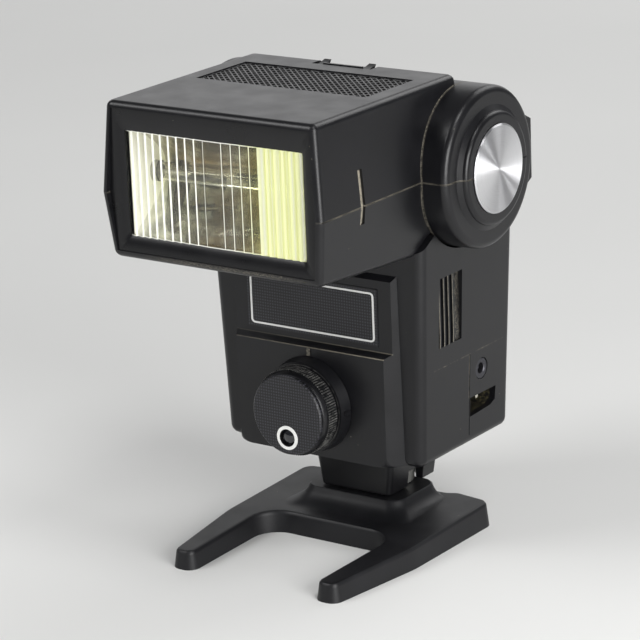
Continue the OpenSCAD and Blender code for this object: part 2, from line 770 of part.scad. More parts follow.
// Point of the lower half of the head, moved down with the fall of the underside.
function fallen(point) = let (more = point[2] / head_drop * (point[1] + head_reach) * tan(under_fall))
  [point[0] - sign(point[0]) * (head_w - head_low_w) / 2 / head_drop * more, point[1], point[2] + more];

module fallen_loft(rings) {
  mirror([0, 0, 1])
    skin([for (g = rings) [for (point = ring_at(g[0], g[1], g[2], g[3], g[4])) fallen(point)]], true,
      [[for (i = [0 : 35]) i]]);
}

module lower_block() {
  fallen_loft(rounded_rings(head_w / 2, -head_reach, 0, head_low_w / 2, -head_reach + front_draft, -1.2,
    head_drop, head_edge, head_edge));
}

module lower_hollow() {
  k = (head_drop - wall) / head_drop;
  fallen_loft([[head_w / 2 - wall, -head_reach - 8, -wall, 0.8, 0],
    [head_w / 2 + (head_low_w - head_w) / 2 * k - wall, -head_reach - 8, -1.2 * k - wall, 0.8, head_drop - wall]]);
}

// Room under the head for the shoulder of the body, with a wall of thickness i round it.
module shoulder_room(i) {
  intersection() {
    translate([0, shoulder_y, -shoulder_drop]) rotate([shoulder_slope, 0, 0])
      box(-60, 60, -40, 90, -60, head_gap + i);
    box(-70, 70, shoulder_y - head_gap - i, 60, -60, 20);
  }
}

module head_block(w2, h) {
  rounded_block(head_w / 2, -head_reach, 0, w2 / 2, -head_reach + front_draft, -1.2, h, head_edge, head_edge);
}

module head_hollow(w2, h) {
  k = (h - wall) / h;
  tapered_box(head_w / 2 - wall, -head_reach - 8, -wall,
    head_w / 2 + (w2 - head_w) / 2 * k - wall, -head_reach - 8, -1.2 * k - wall, h - wall, 0.8);
}

module mouth_upper() {
  head_hollow(head_top_w, head_rise);
}

module mouth_lower() {
  difference() {
    lower_hollow();
    shoulder_room(wall);
  }
}

// Quarter round from the wall to the face, about a centre given as radius and height.
function rim(r, z, e) = [for (a = [0 : 18 : 90]) [r + e * cos(a), z + e * sin(a)]];

// Hub with the boss for the disc, and the plain one for the dial, both set in by i.
module hub_plus(i) {
  rotate([0, 90, 0]) rotate_extrude() polygon(concat(
    [[0, 30], [hub_r - i, 30]], rim(hub_r - hub_edge, hub_face - hub_edge, hub_edge - i),
    [[disc_r + 5.3 - i, hub_face - i]], rim(disc_r + 2.3, boss_face - 1.6, 1.4 - i),
    [[disc_r + 0.2, boss_face - 0.2 - i], [disc_r + 0.2, boss_face - 1], [0, boss_face - 1]]));
}

module hub_minus(i) {
  mirror([1, 0, 0]) rotate([0, 90, 0]) rotate_extrude() polygon(concat(
    [[0, 30], [hub_r - i, 30]], rim(hub_r - hub_edge, hub_face - hub_edge, hub_edge - i),
    [[hub_r - 3.4, hub_face - i], [hub_r - 3.4, hub_face - 0.8], [0, hub_face - 0.8]]));
}

module hub_lugs() {
  for (side = [0, 1]) mirror([side, 0, 0]) along_x(hub_face - 7.3, hub_face - 1.8)
    polygon([[hub_r - 8, -14], [hub_r + 1.6, -9], [hub_r + 1.6, 9], [hub_r - 8, 14]]);
}

module head_screw_places() {
  for (x = [-26, 26]) translate([x, -34, 0]) children();
}

module head_cuts() {
  bar_x(hub_r - wall, -hub_face + 3, hub_face - 2);
  mouth_upper();
  mouth_lower();
  bar_x(1.5, -60, -40);
  side_marks();
}

// Shallow upright slot in each side of the head.
module side_marks() {
  x = head_w / 2 - 0.8;
  difference() {
    for (side = [-1, 1]) translate([side * head_w / 2, 0, 0])
      box(-3, 2, -head_reach + 19.7, -head_reach + 21.5, -5.2, 10.6);
    tapered_box(x, -head_reach, 0, x - (head_w - head_top_w) / 2, -head_reach, 0, head_rise, 1);
    mirror([0, 0, 1]) tapered_box(x, -head_reach, 0, x - (head_w - head_low_w) / 2, -head_reach, 0, head_drop, 1);
  }
}

module head_plates() {
  for (side = [0, 1]) mirror([side, 0, 0]) bar_x(hub_r - 1, plate_in, plate_out);
}

module seam_ring() {
  difference() {
    box(-60, 60, -90, 40, -0.18, 0.18);
    box(-head_w / 2 + 0.4, head_w / 2 - 0.4, -head_reach - 5, 0, -1, 1);
    bar_x(hub_r - 0.4, -31, 31);
    hub_plus(0.4);
    hub_minus(0.4);
    box(-hub_face, hub_face, 0, hub_r + 9, -1, 1);
  }
}

module head_upper_shell() {
  color([0.07, 0.07, 0.08]) translate(pivot) difference() {
    union() {
      difference() {
        union() {
          head_block(head_top_w, head_rise);
          bar_x(hub_r, -head_w / 2, head_w / 2);
          hub_plus(0);
          hub_minus(0);
          hub_lugs();
        }
        head_cuts();
        seam_ring();
      }
      head_plates();
      head_screw_places() cylinder(h = head_rise - wall + 0.2, r = 4);
    }
    box(-90, 90, -90, 90, -90, 0);
    box(-plate_in, plate_in, hub_r - 8, hub_r + 9, -1, 12);
    bar_x(axle_r, -20, 20);
    head_screw_places() translate([0, 0, -1]) cylinder(h = 11, r = 1.4);
    box(-grille_half, grille_half, -grille_front, -grille_back, head_rise - 1, head_rise + 4);
    box(-10.5, 10.5, -7, 6, head_rise - 1.2, head_rise + 4);
  }
}

module head_lower_shell() {
  color([0.075, 0.075, 0.085]) translate(pivot) difference() {
    union() {
      difference() {
        union() {
          difference() {
            lower_block();
            shoulder_room(0);
          }
          bar_x(hub_r, -head_w / 2, head_w / 2);
          hub_plus(0);
          hub_minus(0);
          hub_lugs();
        }
        head_cuts();
        seam_ring();
      }
      head_plates();
      head_screw_places() translate([0, 0, -screw_low + 1]) cylinder(h = screw_low - 1, r = 4);
    }
    box(-90, 90, -90, 90, 0, 90);
    box(-plate_in, plate_in, -14, hub_r + 9, -hub_r - 9, 1);
    bar_x(axle_r, -20, 20);
    head_screw_places() translate([0, 0, -screw_low]) cylinder(h = screw_low + 1, r = 1.4);
    head_screw_places() translate([0, 0, -screw_low - 2]) cylinder(h = 7, r = 2.7);
  }
}

module front_bezel() {
  face = -head_reach + front_draft + 0.3;
  color([0.06, 0.06, 0.065]) translate(pivot) difference() {
    intersection() {
      union() {
        mouth_upper();
        mouth_lower();
      }
      box(-60, 60, face, face + 6, -60, 60);
    }
    translate([0, face + 1.3, 0]) rotate([90, 0, 0]) tapered_box(
      win_half, -win_down, win_up, win_half + 2.9, -win_down - 3, win_up + 5, 1.7, 1.2);
    box(-win_half, win_half, face + 1, face + 3, -win_down, win_up);
    box(-win_half - 1.2, win_half + 1.2, face + 2.2, face + 9, -win_down - 1.2, win_up + 1.2);
  }
}

// Edges of the window ribs, which narrow toward the sides, and the slope of a rib there.
function rib_x(i) = let (u = i / rib_count) rib_mid + (win_half - rib_mid) * (1.2 * u - 0.2 * u * u);
function rib_fall(x) = 0.3 * x / win_half;

module window_lens() {
  face = -head_reach + front_draft + 0.3;
  side = [for (i = [0 : rib_count - 1])
    let (x1 = rib_x(i), x2 = rib_x(i + 1), fall = rib_fall(x2) * (x2 - x1))
      for (point = [[x1 + 0.02, face + 1.1], [x2 - 0.12, face + 1.1 + fall]]) point];
  turned = [for (i = [len(side) - 1 : -1 : 0]) [-side[i][0], side[i][1]]];
  edge = win_half * 0.998;
  color([0.9, 0.88, 0.6, 0.6]) translate(pivot) union() {
    translate([0, 0, -win_down]) linear_extrude(win_up + win_down)
      polygon(concat(turned, side, [[edge, face + 2.4], [-edge, face + 2.4]]));
    box(-win_half - 1.1, win_half + 1.1, face + 2.2, face + 3.6, -win_down - 1.1, win_up + 1.1);
  }
}

function dish(t) = pow(abs(t), 2.2);

module reflector() {
  face = -head_reach + front_draft + 3.9;
  deep = reflector_deep;
  steps = 20;
  inner = [for (i = [0 : steps]) let (t = 2 * i / steps - 1)
    [face + deep - deep * dish(t), win_z + t * (win_hh + 0.2)]];
  outer = [for (i = [0 : steps]) let (t = 1 - 2 * i / steps)
    [face + deep + 0.8 - deep * dish(t), win_z + t * (win_hh + 1)]];
  color([0.86, 0.86, 0.84]) translate(pivot) difference() {
    union() {
      along_x(-win_half + 0.8, win_half - 0.8) polygon(concat(inner, outer));
      for (side = [0, 1]) mirror([side, 0, 0]) along_x(win_half - 0.9, win_half) polygon(inner);
    }
    translate([0, face + tube_y, win_z]) bar_x(tube_r + gap, -60, 60);
  }
}

module flash_tube() {
  color([0.9, 0.9, 0.85, 0.5]) translate(pivot) translate([0, tube_y - head_reach + front_draft + 3.9, win_z])
    bar_x(tube_r, -win_half + 2.5, win_half - 2.5);
}

module tube_caps() {
  color([0.7, 0.68, 0.6]) translate(pivot) translate([0, tube_y - head_reach + front_draft + 3.9, win_z])
    for (side = [0, 1]) mirror([side, 0, 0]) {
      bar_x(tube_r + gap, win_half - 2.5, win_half + 2);
      bar_x(0.8, win_half + 1.9, win_half + 4);
    }
}

module top_grille() {
  color([0.05, 0.05, 0.055]) translate(pivot)
    box(-grille_half, grille_half, -grille_front, -grille_back, head_rise - 1, head_rise - 0.35);
}

module rear_catch() {
  color([0.06, 0.06, 0.065]) translate(pivot) union() {
    box(-10.4, 10.4, -6.9, -2.6, head_rise - 1.2, head_rise - 0.5);
    for (x = [-8, 8]) translate([x, -4.6, head_rise - 0.6]) rotate([90, 0, 90]) translate([0, 0, -1.2])
      linear_extrude(2.4) polygon([[-1.6, 0], [1.8, 0], [2.6, 1.9], [1.6, 1.4]]);
  }
}

module hub_disc() {
  color([0.8, 0.8, 0.81]) translate(pivot) union() {
    bar_x(disc_r, boss_face - 1, boss_face + 0.1);
    translate([boss_face + 0.05, 0, 0]) rotate([0, 90, 0]) cylinder(h = 0.35, r1 = disc_r, r2 = disc_r - 0.5);
  }
}

module dial_scale() {
  color([0.85, 0.85, 0.85]) translate(pivot) difference() {
    bar_x(hub_r - 3.6, -hub_face, -hub_face + 0.8);
    bar_x(1.5, -60, -40);
  }
}

module dial_ring() {
  color([0.1, 0.1, 0.11]) translate(pivot) difference() {
    union() {
      translate([-hub_face - gap - 1.6, 0, 0]) rotate([0, 90, 0]) linear_extrude(1.6) knurl(dial_r, 0.5, 48);
      bar_x(dial_r - 2, -hub_face - gap - 2, -hub_face - gap - 1.5);
    }
    bar_x(1.5 + run_fit, -60, -40);
  }
}

module dial_rivet() {
  color([0.75, 0.75, 0.76]) translate(pivot) union() {
    bar_x(1.5, -hub_face - gap - 2.4, -hub_face + 2.4);
    bar_x(3, -hub_face - gap * 2 - 2.9, -hub_face - gap * 2 - 2);
  }
}

module pivot_axle() {
  color([0.7, 0.7, 0.72]) translate(pivot) difference() {
    bar_x(axle_r, -plate_out - 2, plate_out + 2);
    bar_x(axle_r * 0.55, -60, 60);
  }
}

module head_screws() {
  color([0.45, 0.45, 0.46]) translate(pivot) head_screw_places() {
    translate([0, 0, -screw_low + 5]) cylinder(h = screw_low + 4, r = 1.4);
    difference() {
      translate([0, 0, -screw_low + 3.2]) cylinder(h = 1.8, r = 2.5);
      box(-0.35, 0.35, -1.6, 1.6, -screw_low + 3, -screw_low + 4);
      box(-1.6, 1.6, -0.35, 0.35, -screw_low + 3, -screw_low + 4);
    }
  }
}

stand_base();
tripod_insert();
foot_plate();
foot_contact();
lock_wheel();
foot_neck();
front_shell();
rear_shell();
name_plate();
plate_frame();
battery_door();
battery_holder();
aa_cells();
battery_contacts();
main_capacitor();
circuit_board();
transformer();
ac_socket();
ac_pins();
sync_socket();
power_switch();
ready_button();
body_screws();
tilt_yoke();
sensor_base();
mode_ring();
sensor_cap();
eye_ring();
sensor_lens();
sensor_pins();
head_upper_shell();
head_lower_shell();
front_bezel();
window_lens();
reflector();
flash_tube();
tube_caps();
top_grille();
rear_catch();
hub_disc();
dial_scale();
dial_ring();
dial_rivet();
pivot_axle();
head_screws();
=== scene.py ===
import math
import bmesh
import bpy
from mathutils import Matrix, Vector


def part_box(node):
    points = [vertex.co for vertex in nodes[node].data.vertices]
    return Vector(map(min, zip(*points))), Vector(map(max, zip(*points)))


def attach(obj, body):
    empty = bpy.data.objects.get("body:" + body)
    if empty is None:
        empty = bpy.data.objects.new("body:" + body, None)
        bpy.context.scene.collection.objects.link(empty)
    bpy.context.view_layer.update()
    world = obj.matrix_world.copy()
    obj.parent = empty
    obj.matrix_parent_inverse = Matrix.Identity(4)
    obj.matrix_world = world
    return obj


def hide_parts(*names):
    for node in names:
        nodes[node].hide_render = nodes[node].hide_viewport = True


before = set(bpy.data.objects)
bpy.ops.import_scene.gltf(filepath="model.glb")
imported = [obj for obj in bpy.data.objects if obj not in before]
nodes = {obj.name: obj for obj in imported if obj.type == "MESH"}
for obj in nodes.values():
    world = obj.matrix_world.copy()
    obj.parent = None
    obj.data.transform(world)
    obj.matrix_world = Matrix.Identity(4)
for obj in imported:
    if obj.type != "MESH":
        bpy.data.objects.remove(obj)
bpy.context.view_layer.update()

mm = 0.001


def middleOf(node):
    low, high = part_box(node)
    return (low + high) / 2


tilt = middleOf("pivot_axle")  # middle of the tilt axis
print("frame loaded,", len(nodes), "nodes")


def linear(code):  # sRGB hex to linear colour
    parts = [int(code[i:i + 2], 16) / 255 for i in (1, 3, 5)]
    return [p / 12.92 if p <= 0.04045 else ((p + 0.055) / 1.055) ** 2.4 for p in parts] + [1]


def darker(code, share):
    return [c * share for c in linear(code)[:3]] + [1]


def addNode(tree, kind, inputs=None, **settings):
    node = tree.nodes.new(kind)
    for name, value in settings.items():
        setattr(node, name, value)
    for name, value in (inputs or {}).items():
        if isinstance(value, bpy.types.NodeSocket):
            tree.links.new(value, node.inputs[name])
        else:
            node.inputs[name].default_value = value
    return node


def newMaterial(name, **values):
    mat = bpy.data.materials.new(name)
    mat.use_nodes = True
    tree = mat.node_tree
    shader = tree.nodes["Principled BSDF"]
    for socket, value in values.items():
        shader.inputs[socket.replace("_", " ")].default_value = value
    coords = tree.nodes.new("ShaderNodeTexCoord").outputs["Object"]
    return mat, tree, shader, coords


aboutX, aboutY = (0, 1, 1), (1, 0, 1)  # the part of an offset that lies across each axis


def fromAxis(tree, coords, middle, across):
    # the offset from a middle, its part across an axis, and the length of that part
    about = addNode(tree, "ShaderNodeVectorMath", {0: coords, 1: middle}, operation="SUBTRACT").outputs[0]
    flat = addNode(tree, "ShaderNodeVectorMath", {0: about, 1: across}, operation="MULTIPLY").outputs[0]
    reach = addNode(tree, "ShaderNodeVectorMath", {0: flat}, operation="LENGTH").outputs["Value"]
    return about, flat, reach


mouldedAbs = {"colour": "#0c0c0e", "paler": "#17171a", "dust": "#8f897b", "shine": 0.36, "rough": 0.32,
              "roughSpread": 0.08, "dustAndHighlightRough": 0.45, "cloudMm": 9, "cloudSpan": (0.3, 0.7),
              "grainMm": 0.32, "grainDepth": 0.12, "grainHighMm": 0.15,
              "speckMm": 5.5, "speckSpan": (0.022, 0.03), "speckMost": 0.75}


def blackAbs(name, changes=None, dust=None):  # from a spark eroded mould: dull black with a fine grain
    m = {**mouldedAbs, **(changes or {})}
    mat, tree, shader, coords = newMaterial(name, IOR=1.52, Specular_IOR_Level=m["shine"])
    cloud = addNode(tree, "ShaderNodeTexNoise", {"Vector": coords, "Scale": 1 / (m["cloudMm"] * mm),
                                                 "Detail": 4.0}).outputs["Fac"]
    grain = addNode(tree, "ShaderNodeTexNoise", {"Vector": coords, "Scale": 1 / (m["grainMm"] * mm),
                                                 "Detail": 2.0}).outputs["Fac"]
    speck = addNode(tree, "ShaderNodeTexVoronoi", {"Vector": coords, "Scale": 1 / (m["speckMm"] * mm)})
    dots = addNode(tree, "ShaderNodeMapRange", {
        "Value": speck.outputs["Distance"], "From Min": m["speckSpan"][0], "From Max": m["speckSpan"][1],
        "To Min": m["speckMost"], "To Max": 0.0})
    base = addNode(tree, "ShaderNodeMix", {0: cloud, 6: linear(m["colour"]), 7: linear(m["paler"])},
                   data_type="RGBA")
    # this mask carries dust, and on the body also the painted highlight lines along the ledge, all mixed
    # towards the dust colour
    dusty = dots.outputs[0]
    for spot in dust(tree, coords) if dust else ():
        dusty = addNode(tree, "ShaderNodeMath", {0: dusty, 1: spot}, operation="MAXIMUM").outputs[0]
    colour = addNode(tree, "ShaderNodeMix", {0: dusty, 6: base.outputs[2], 7: linear(m["dust"])},
                     data_type="RGBA")
    sheen = addNode(tree, "ShaderNodeMapRange", {
        "Value": cloud, "From Min": m["cloudSpan"][0], "From Max": m["cloudSpan"][1],
        "To Min": m["rough"] - m["roughSpread"] / 2, "To Max": m["rough"] + m["roughSpread"] / 2})
    rough = addNode(tree, "ShaderNodeMath", {0: dusty, 1: m["dustAndHighlightRough"], 2: sheen.outputs[0]},
                    operation="MULTIPLY_ADD")
    bump = addNode(tree, "ShaderNodeBump", {"Height": grain, "Strength": m["grainDepth"],
                                            "Distance": m["grainHighMm"] * mm})
    tree.links.new(colour.outputs[2], shader.inputs["Base Color"])
    tree.links.new(rough.outputs[0], shader.inputs["Roughness"])
    tree.links.new(bump.outputs["Normal"], shader.inputs["Normal"])
    return mat


def lineAt(tree, value, placeMm, halfMm, hard=0.5):  # 1 in a band's hard share, 0 beyond its half width
    away = addNode(tree, "ShaderNodeMath", {0: value, 1: placeMm * mm}, operation="SUBTRACT").outputs[0]
    size = addNode(tree, "ShaderNodeMath", {0: away}, operation="ABSOLUTE").outputs[0]
    return addNode(tree, "ShaderNodeMapRange", {
        "Value": size, "From Min": halfMm * hard * mm, "From Max": halfMm * mm, "To Min": 1.0,
        "To Max": 0.0}).outputs[0]


def allOf(tree, *masks):
    both = masks[0]
    for mask in masks[1:]:
        both = addNode(tree, "ShaderNodeMath", {0: both, 1: mask}, operation="MULTIPLY").outputs[0]
    return both


def patches(tree, coords, sizeMm, bare, full, most):  # uneven cover, from bare to full over a noise
    noise = addNode(tree, "ShaderNodeTexNoise", {"Vector": coords, "Scale": 1 / (sizeMm * mm),
                                                 "Detail": 3.0})
    return addNode(tree, "ShaderNodeMapRange", {
        "Value": noise.outputs["Fac"], "From Min": bare, "From Max": full, "To Max": most}).outputs[0]


def dustAndHighlightSpots(tree, coords, measures, spots):  # a spot lies where its bands meet, under a patchy cover
    masks = []
    for spot in spots.values():
        bands = [lineAt(tree, measures[band[0]], *band[1:]) for band in spot["bands"]]
        fades = [measures[spot["fade"]]] if "fade" in spot else []
        masks.append(allOf(tree, *bands, *fades, patches(tree, coords, *spot["cover"])))
    return masks


sideLean = 0.0815  # the head's sides come in by this share of the height
# bands: measure, place and half width in mm, hard share; cover: size in mm, bare, full and most
headDirt = {  # places from the tilt axis
    "crease": {"bands": [("reach", 24.1, 0.18), ("lean", 38.55, 0.5)], "cover": (0.7, 0.3, 0.65, 0.6)},
    "parting": {"bands": [("z", 0, 0.3), ("side", 42, 8, 0.95), ("y", -30, 46, 0.75)],
                "cover": (2.2, 0.3, 0.6, 0.6)},
    "under": {"bands": [("z", -18.6, 1.8), ("y", -73.4, 1.6), ("x", 4, 30)],
              "cover": (0.45, 0.42, 0.7, 0.6)},
    "slots": {"bands": [("y", -53.6, 1.1, 0.9), ("lean", 38.0, 0.65, 0.9), ("z", 2.7, 7.9, 0.98)],
              "cover": (1.2, 0.2, 0.5, 0.95)}}


def headDust(tree, coords):
    # pale dust where the hubs meet the sides, on the parting line, under the frame and in the side slots
    about, _, reach = fromAxis(tree, coords, tilt, aboutX)
    x, y, z = addNode(tree, "ShaderNodeSeparateXYZ", {0: about}).outputs
    side = addNode(tree, "ShaderNodeMath", {0: x}, operation="ABSOLUTE").outputs[0]
    rise = addNode(tree, "ShaderNodeMath", {0: z}, operation="ABSOLUTE").outputs[0]
    lean = addNode(tree, "ShaderNodeMath", {0: rise, 1: sideLean, 2: side},
                   operation="MULTIPLY_ADD").outputs[0]
    measures = {"x": x, "y": y, "z": z, "side": side, "lean": lean, "reach": reach}
    return dustAndHighlightSpots(tree, coords, measures, headDirt)


ventRibs = {"firstMm": -19.45, "pitchMm": 2.4}
# painted highlight on the ledge lines: a small share at the left end, full at the right end
ledgeHighlightFade = {"fromMm": -30, "toMm": 30, "least": 0.15}
vent = [("y", -14.0, 6.3, 0.98), ("z", 75.8, 10.8, 0.99)]
bodyDirtAndHighlights = {  # places from the frame's origin
    "ribs": {"bands": vent + [("step", ventRibs["pitchMm"] / 2, 0.19), ("x", 37.0, 0.3, 0.8),
                              ("y", -16.5, 5, 0.98)], "cover": (0.6, 0.1, 0.55, 0.8)},
    "floor": {"bands": vent + [("x", 36.2, 0.3, 0.8), ("y", -9.7, 2.2)], "cover": (0.5, 0.45, 0.75, 0.6)},
    "scratch": {"bands": [("z", 58.8, 0.2), ("x", 37, 2.5, 0.9), ("y", -4, 20, 0.98)],
                "cover": (1.6, 0.45, 0.75, 0.4)},
    "index": {"bands": [("x", 0, 0.7, 0.9), ("z", 62.75, 1.25, 0.9), ("y", -34.6, 0.2)],
              "cover": (0.6, 0.3, 0.6, 0.5)},
    "seam": {"bands": [("y", -3.2, 0.3), ("z", 51.5, 7.3, 0.9), ("x", 36.5, 1.2, 0.9)],
             "cover": (1.3, 0.35, 0.65, 0.5)},
    # ledgeFront and ledgeBack are painted highlight lines on the ledge's front edge and back crease, in the
    # dust colour
    "ledgeFront": {"bands": [("y", -34.2, 0.24), ("z", 64.2, 0.3)], "fade": "paler",
                   "cover": (3.0, 0.1, 0.5, 0.9)},
    "ledgeBack": {"bands": [("y", -31.6, 0.24), ("z", 65.3, 0.3)], "fade": "paler",
                  "cover": (3.0, 0.1, 0.5, 0.4)}}


def bodyDustAndHighlights(tree, coords):  # dust on the vent ribs, broken lines on the sides, painted highlight lines along the ledge
    x, y, z = addNode(tree, "ShaderNodeSeparateXYZ", {0: coords}).outputs
    start = (ventRibs["firstMm"] - ventRibs["pitchMm"] / 2) * mm
    past = addNode(tree, "ShaderNodeMath", {0: y, 1: start}, operation="SUBTRACT").outputs[0]
    step = addNode(tree, "ShaderNodeMath", {0: past, 1: ventRibs["pitchMm"] * mm},
                   operation="MODULO").outputs[0]
    # share of the painted ledge highlight, growing towards the right
    paler = addNode(tree, "ShaderNodeMapRange", {
        "Value": x, "From Min": ledgeHighlightFade["fromMm"] * mm, "From Max": ledgeHighlightFade["toMm"] * mm,
        "To Min": ledgeHighlightFade["least"]}).outputs[0]
    return dustAndHighlightSpots(tree, coords, {"x": x, "y": y, "z": z, "step": step, "paler": paler}, bodyDirtAndHighlights)


socketDirt = {"all": {"bands": [], "cover": (0.7, 0.42, 0.75, 0.9)}}


def socketDust(tree, coords):  # olive dust that gathers in the socket
    return dustAndHighlightSpots(tree, coords, {}, socketDirt)


ringLow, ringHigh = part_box("mode_ring")
ringMiddle = middleOf("mode_ring")
ringR = (ringHigh.z - ringLow.z) / 2
knobDirt = {"teeth": {"bands": [("reach", ringR / mm, 0.16)], "cover": (1.6, 0.35, 0.65, 0.22)}}


def knobDust(tree, coords):  # tops of the ring's teeth, rubbed pale
    _, _, reach = fromAxis(tree, coords, ringMiddle, aboutY)
    return dustAndHighlightSpots(tree, coords, {"reach": reach}, knobDirt)


headBlack = blackAbs("black ABS, grained, head", None, headDust)
bodyBlack = blackAbs("black ABS, grained, body", None, bodyDustAndHighlights)
standBlack = blackAbs("black ABS, satin, stand", {"colour": "#101012", "paler": "#1b1b1e", "rough": 0.46})
trimBlack = blackAbs("black ABS, smooth trim", {"colour": "#0a0a0b", "grainDepth": 0.04})
frameBlack = blackAbs("black ABS, smooth window frame",
                      {"colour": "#0a0a0b", "rough": 0.3, "grainDepth": 0.05})
knobBlack = blackAbs("black ABS, knob", {"dust": "#b4b3ae", "rough": 0.34, "grainDepth": 0.05}, knobDust)
socketBlack = blackAbs("black ABS, dusty socket", {"dust": "#5d583f"}, socketDust)

woven = {"pitchMm": 0.9, "low": "#09090b", "high": "#3a3a41", "rough": 0.42, "depth": 0.35, "highMm": 0.08}


def wovenSheet():  # black sheet embossed with a fine weave, drawn about twice as coarse so that it shows
    mat, tree, shader, coords = newMaterial("black sheet, embossed weave", IOR=1.5,
                                            Roughness=woven["rough"])
    turns = 2 * math.pi / (woven["pitchMm"] * mm)
    parts = addNode(tree, "ShaderNodeSeparateXYZ", {0: coords})
    waves = []
    for axis in ("X", "Z"):
        scaled = addNode(tree, "ShaderNodeMath", {0: parts.outputs[axis], 1: turns}, operation="MULTIPLY")
        wave = addNode(tree, "ShaderNodeMath", {0: scaled.outputs[0]}, operation="SINE").outputs[0]
        waves.append(addNode(tree, "ShaderNodeMapRange", {"Value": wave, "From Min": -1.0}).outputs[0])
    dots = allOf(tree, *waves)
    colour = addNode(tree, "ShaderNodeMix", {0: dots, 6: linear(woven["low"]), 7: linear(woven["high"])},
                     data_type="RGBA")
    bump = addNode(tree, "ShaderNodeBump", {"Height": dots, "Strength": woven["depth"],
                                            "Distance": woven["highMm"] * mm})
    tree.links.new(colour.outputs[2], shader.inputs["Base Color"])
    tree.links.new(bump.outputs["Normal"], shader.inputs["Normal"])
    return mat


plateWeave = wovenSheet()
metalLay = {"scratchMm": 0.25, "spread": 0.12, "shade": 0.8}


def metal(name, colour, rough):  # turned or plated metal: fine lay in the gloss
    mat, tree, shader, coords = newMaterial(name, Metallic=1.0)
    tone = addNode(tree, "ShaderNodeTexNoise", {"Vector": coords, "Scale": 1 / (metalLay["scratchMm"] * mm),
                                                "Detail": 3.0}).outputs["Fac"]
    gloss = addNode(tree, "ShaderNodeMapRange", {"Value": tone, "To Min": rough - metalLay["spread"] / 2,
                                                 "To Max": rough + metalLay["spread"] / 2})
    mix = addNode(tree, "ShaderNodeMix", {0: tone, 6: darker(colour, metalLay["shade"]), 7: linear(colour)},
                  data_type="RGBA")
    tree.links.new(gloss.outputs[0], shader.inputs["Roughness"])
    tree.links.new(mix.outputs[2], shader.inputs["Base Color"])
    return mat


brass = metal("brass, turned", "#c9a45a", 0.3)  # warm soft shine
nickel = metal("steel, knurled and nickel plated", "#6c6c69", 0.42)  # grey, dulled by handling
contactGold = metal("brass, gold plated", "#d9b45c", 0.22)  # clean yellow shine
springSteel = metal("spring steel, bright", "#c4c4c0", 0.25)  # hard bright glints
screwSteel = metal("steel, black oxide", "#4a4a4c", 0.4)  # dark, with a low gleam
darkNickel = metal("brass, dull nickel plated", "#5a5a5f", 0.5)  # soft grey ring in the dark side
pinNickel = metal("brass, bright nickel plated", "#e6e2d4", 0.25)  # pale warm glint
spun = {"ringMm": 0.3, "rough": (0.34, 0.44), "tones": ("#dcdcdf", "#f4f4f6")}


def spunDisc():  # faced on a lathe: rings of fine lay that spread each lamp into a pair of wedges
    mat, tree, shader, coords = newMaterial("aluminium, spun", Metallic=1.0, Anisotropic=1.0)
    _, flat, reach = fromAxis(tree, coords, tilt, aboutX)
    rings = addNode(tree, "ShaderNodeTexNoise", {"W": reach, "Scale": 1 / (spun["ringMm"] * mm),
                                                 "Detail": 3.0}, noise_dimensions="1D").outputs["Fac"]
    gloss = addNode(tree, "ShaderNodeMapRange", {"Value": rings, "To Min": spun["rough"][0],
                                                 "To Max": spun["rough"][1]})
    tone = addNode(tree, "ShaderNodeMix", {0: rings, 6: linear(spun["tones"][0]),
                                           7: linear(spun["tones"][1])}, data_type="RGBA")
    outward = addNode(tree, "ShaderNodeVectorTransform", {0: flat}, vector_type="VECTOR",
                      convert_from="OBJECT", convert_to="WORLD")
    lay = addNode(tree, "ShaderNodeVectorMath", {0: outward.outputs[0]}, operation="NORMALIZE")
    tree.links.new(gloss.outputs[0], shader.inputs["Roughness"])
    tree.links.new(tone.outputs[2], shader.inputs["Base Color"])
    tree.links.new(lay.outputs[0], shader.inputs["Tangent"])
    return mat


spunAluminium = spunDisc()
tint = {"shade": 0.86, "smoother": 0.05, "rougher": 0.08}


def tinted(name, colour, rough, cloudMm=1.5, **values):  # dyed or printed plastic with slight cloudiness
    mat, tree, shader, coords = newMaterial(name, **values)
    cloud = addNode(tree, "ShaderNodeTexNoise", {"Vector": coords, "Scale": 1 / (cloudMm * mm),
                                                 "Detail": 3.0}).outputs["Fac"]
    mix = addNode(tree, "ShaderNodeMix", {0: cloud, 6: darker(colour, tint["shade"]), 7: linear(colour)},
                  data_type="RGBA")
    gloss = addNode(tree, "ShaderNodeMapRange", {"Value": cloud, "To Min": rough - tint["smoother"],
                                                 "To Max": rough + tint["rougher"]})
    tree.links.new(mix.outputs[2], shader.inputs["Base Color"])
    tree.links.new(gloss.outputs[0], shader.inputs["Roughness"])
    return mat


whiteInk = tinted("white ink, screen printed", "#e4e4e2", 0.55, 0.6)  # flat white, slightly uneven
redAbs = tinted("red ABS, moulded", "#9c1f19", 0.4)  # deep even red
amberAcrylic = tinted("amber acrylic, moulded", "#e08a2c", 0.2, IOR=1.49, Coat_Weight=0.5)
darkGlass = tinted("dark glass, polished", "#0a0c12", 0.06, IOR=1.52, Coat_Weight=1.0)
cellSleeve = tinted("shrink sleeve on cells", "#39474a", 0.35)  # smooth film with a soft shine
capacitorSleeve = tinted("shrink sleeve on capacitor", "#20386b", 0.3)  # shiny blue film
boardGreen = tinted("circuit board, solder resist", "#1f5a37", 0.4)  # glassy green
windingTape = tinted("polyester tape on winding", "#b8952f", 0.35)  # yellow film
paintedShadeInside = tinted("painted shade, inside grille holes", "#050505", 0.8)  # painted shade: near black so that the grille holes read as depth
holderGrey = tinted("grey ABS, holder", "#2c2c2e", 0.45)  # dull dark grey
endPlatesPaintedReflection = tinted("end plates, white as painted reflection", "#f4f3ee", 0.4, 6)  # painted reflection: the aluminium end plates drawn even white beside the mirror
# the ring's black inner part is painted shade
eyeRing = {"black": "#0a0a0b", "white": "#e9e9e6", "edgeMm": (2.68, 2.76), "rough": 0.4}


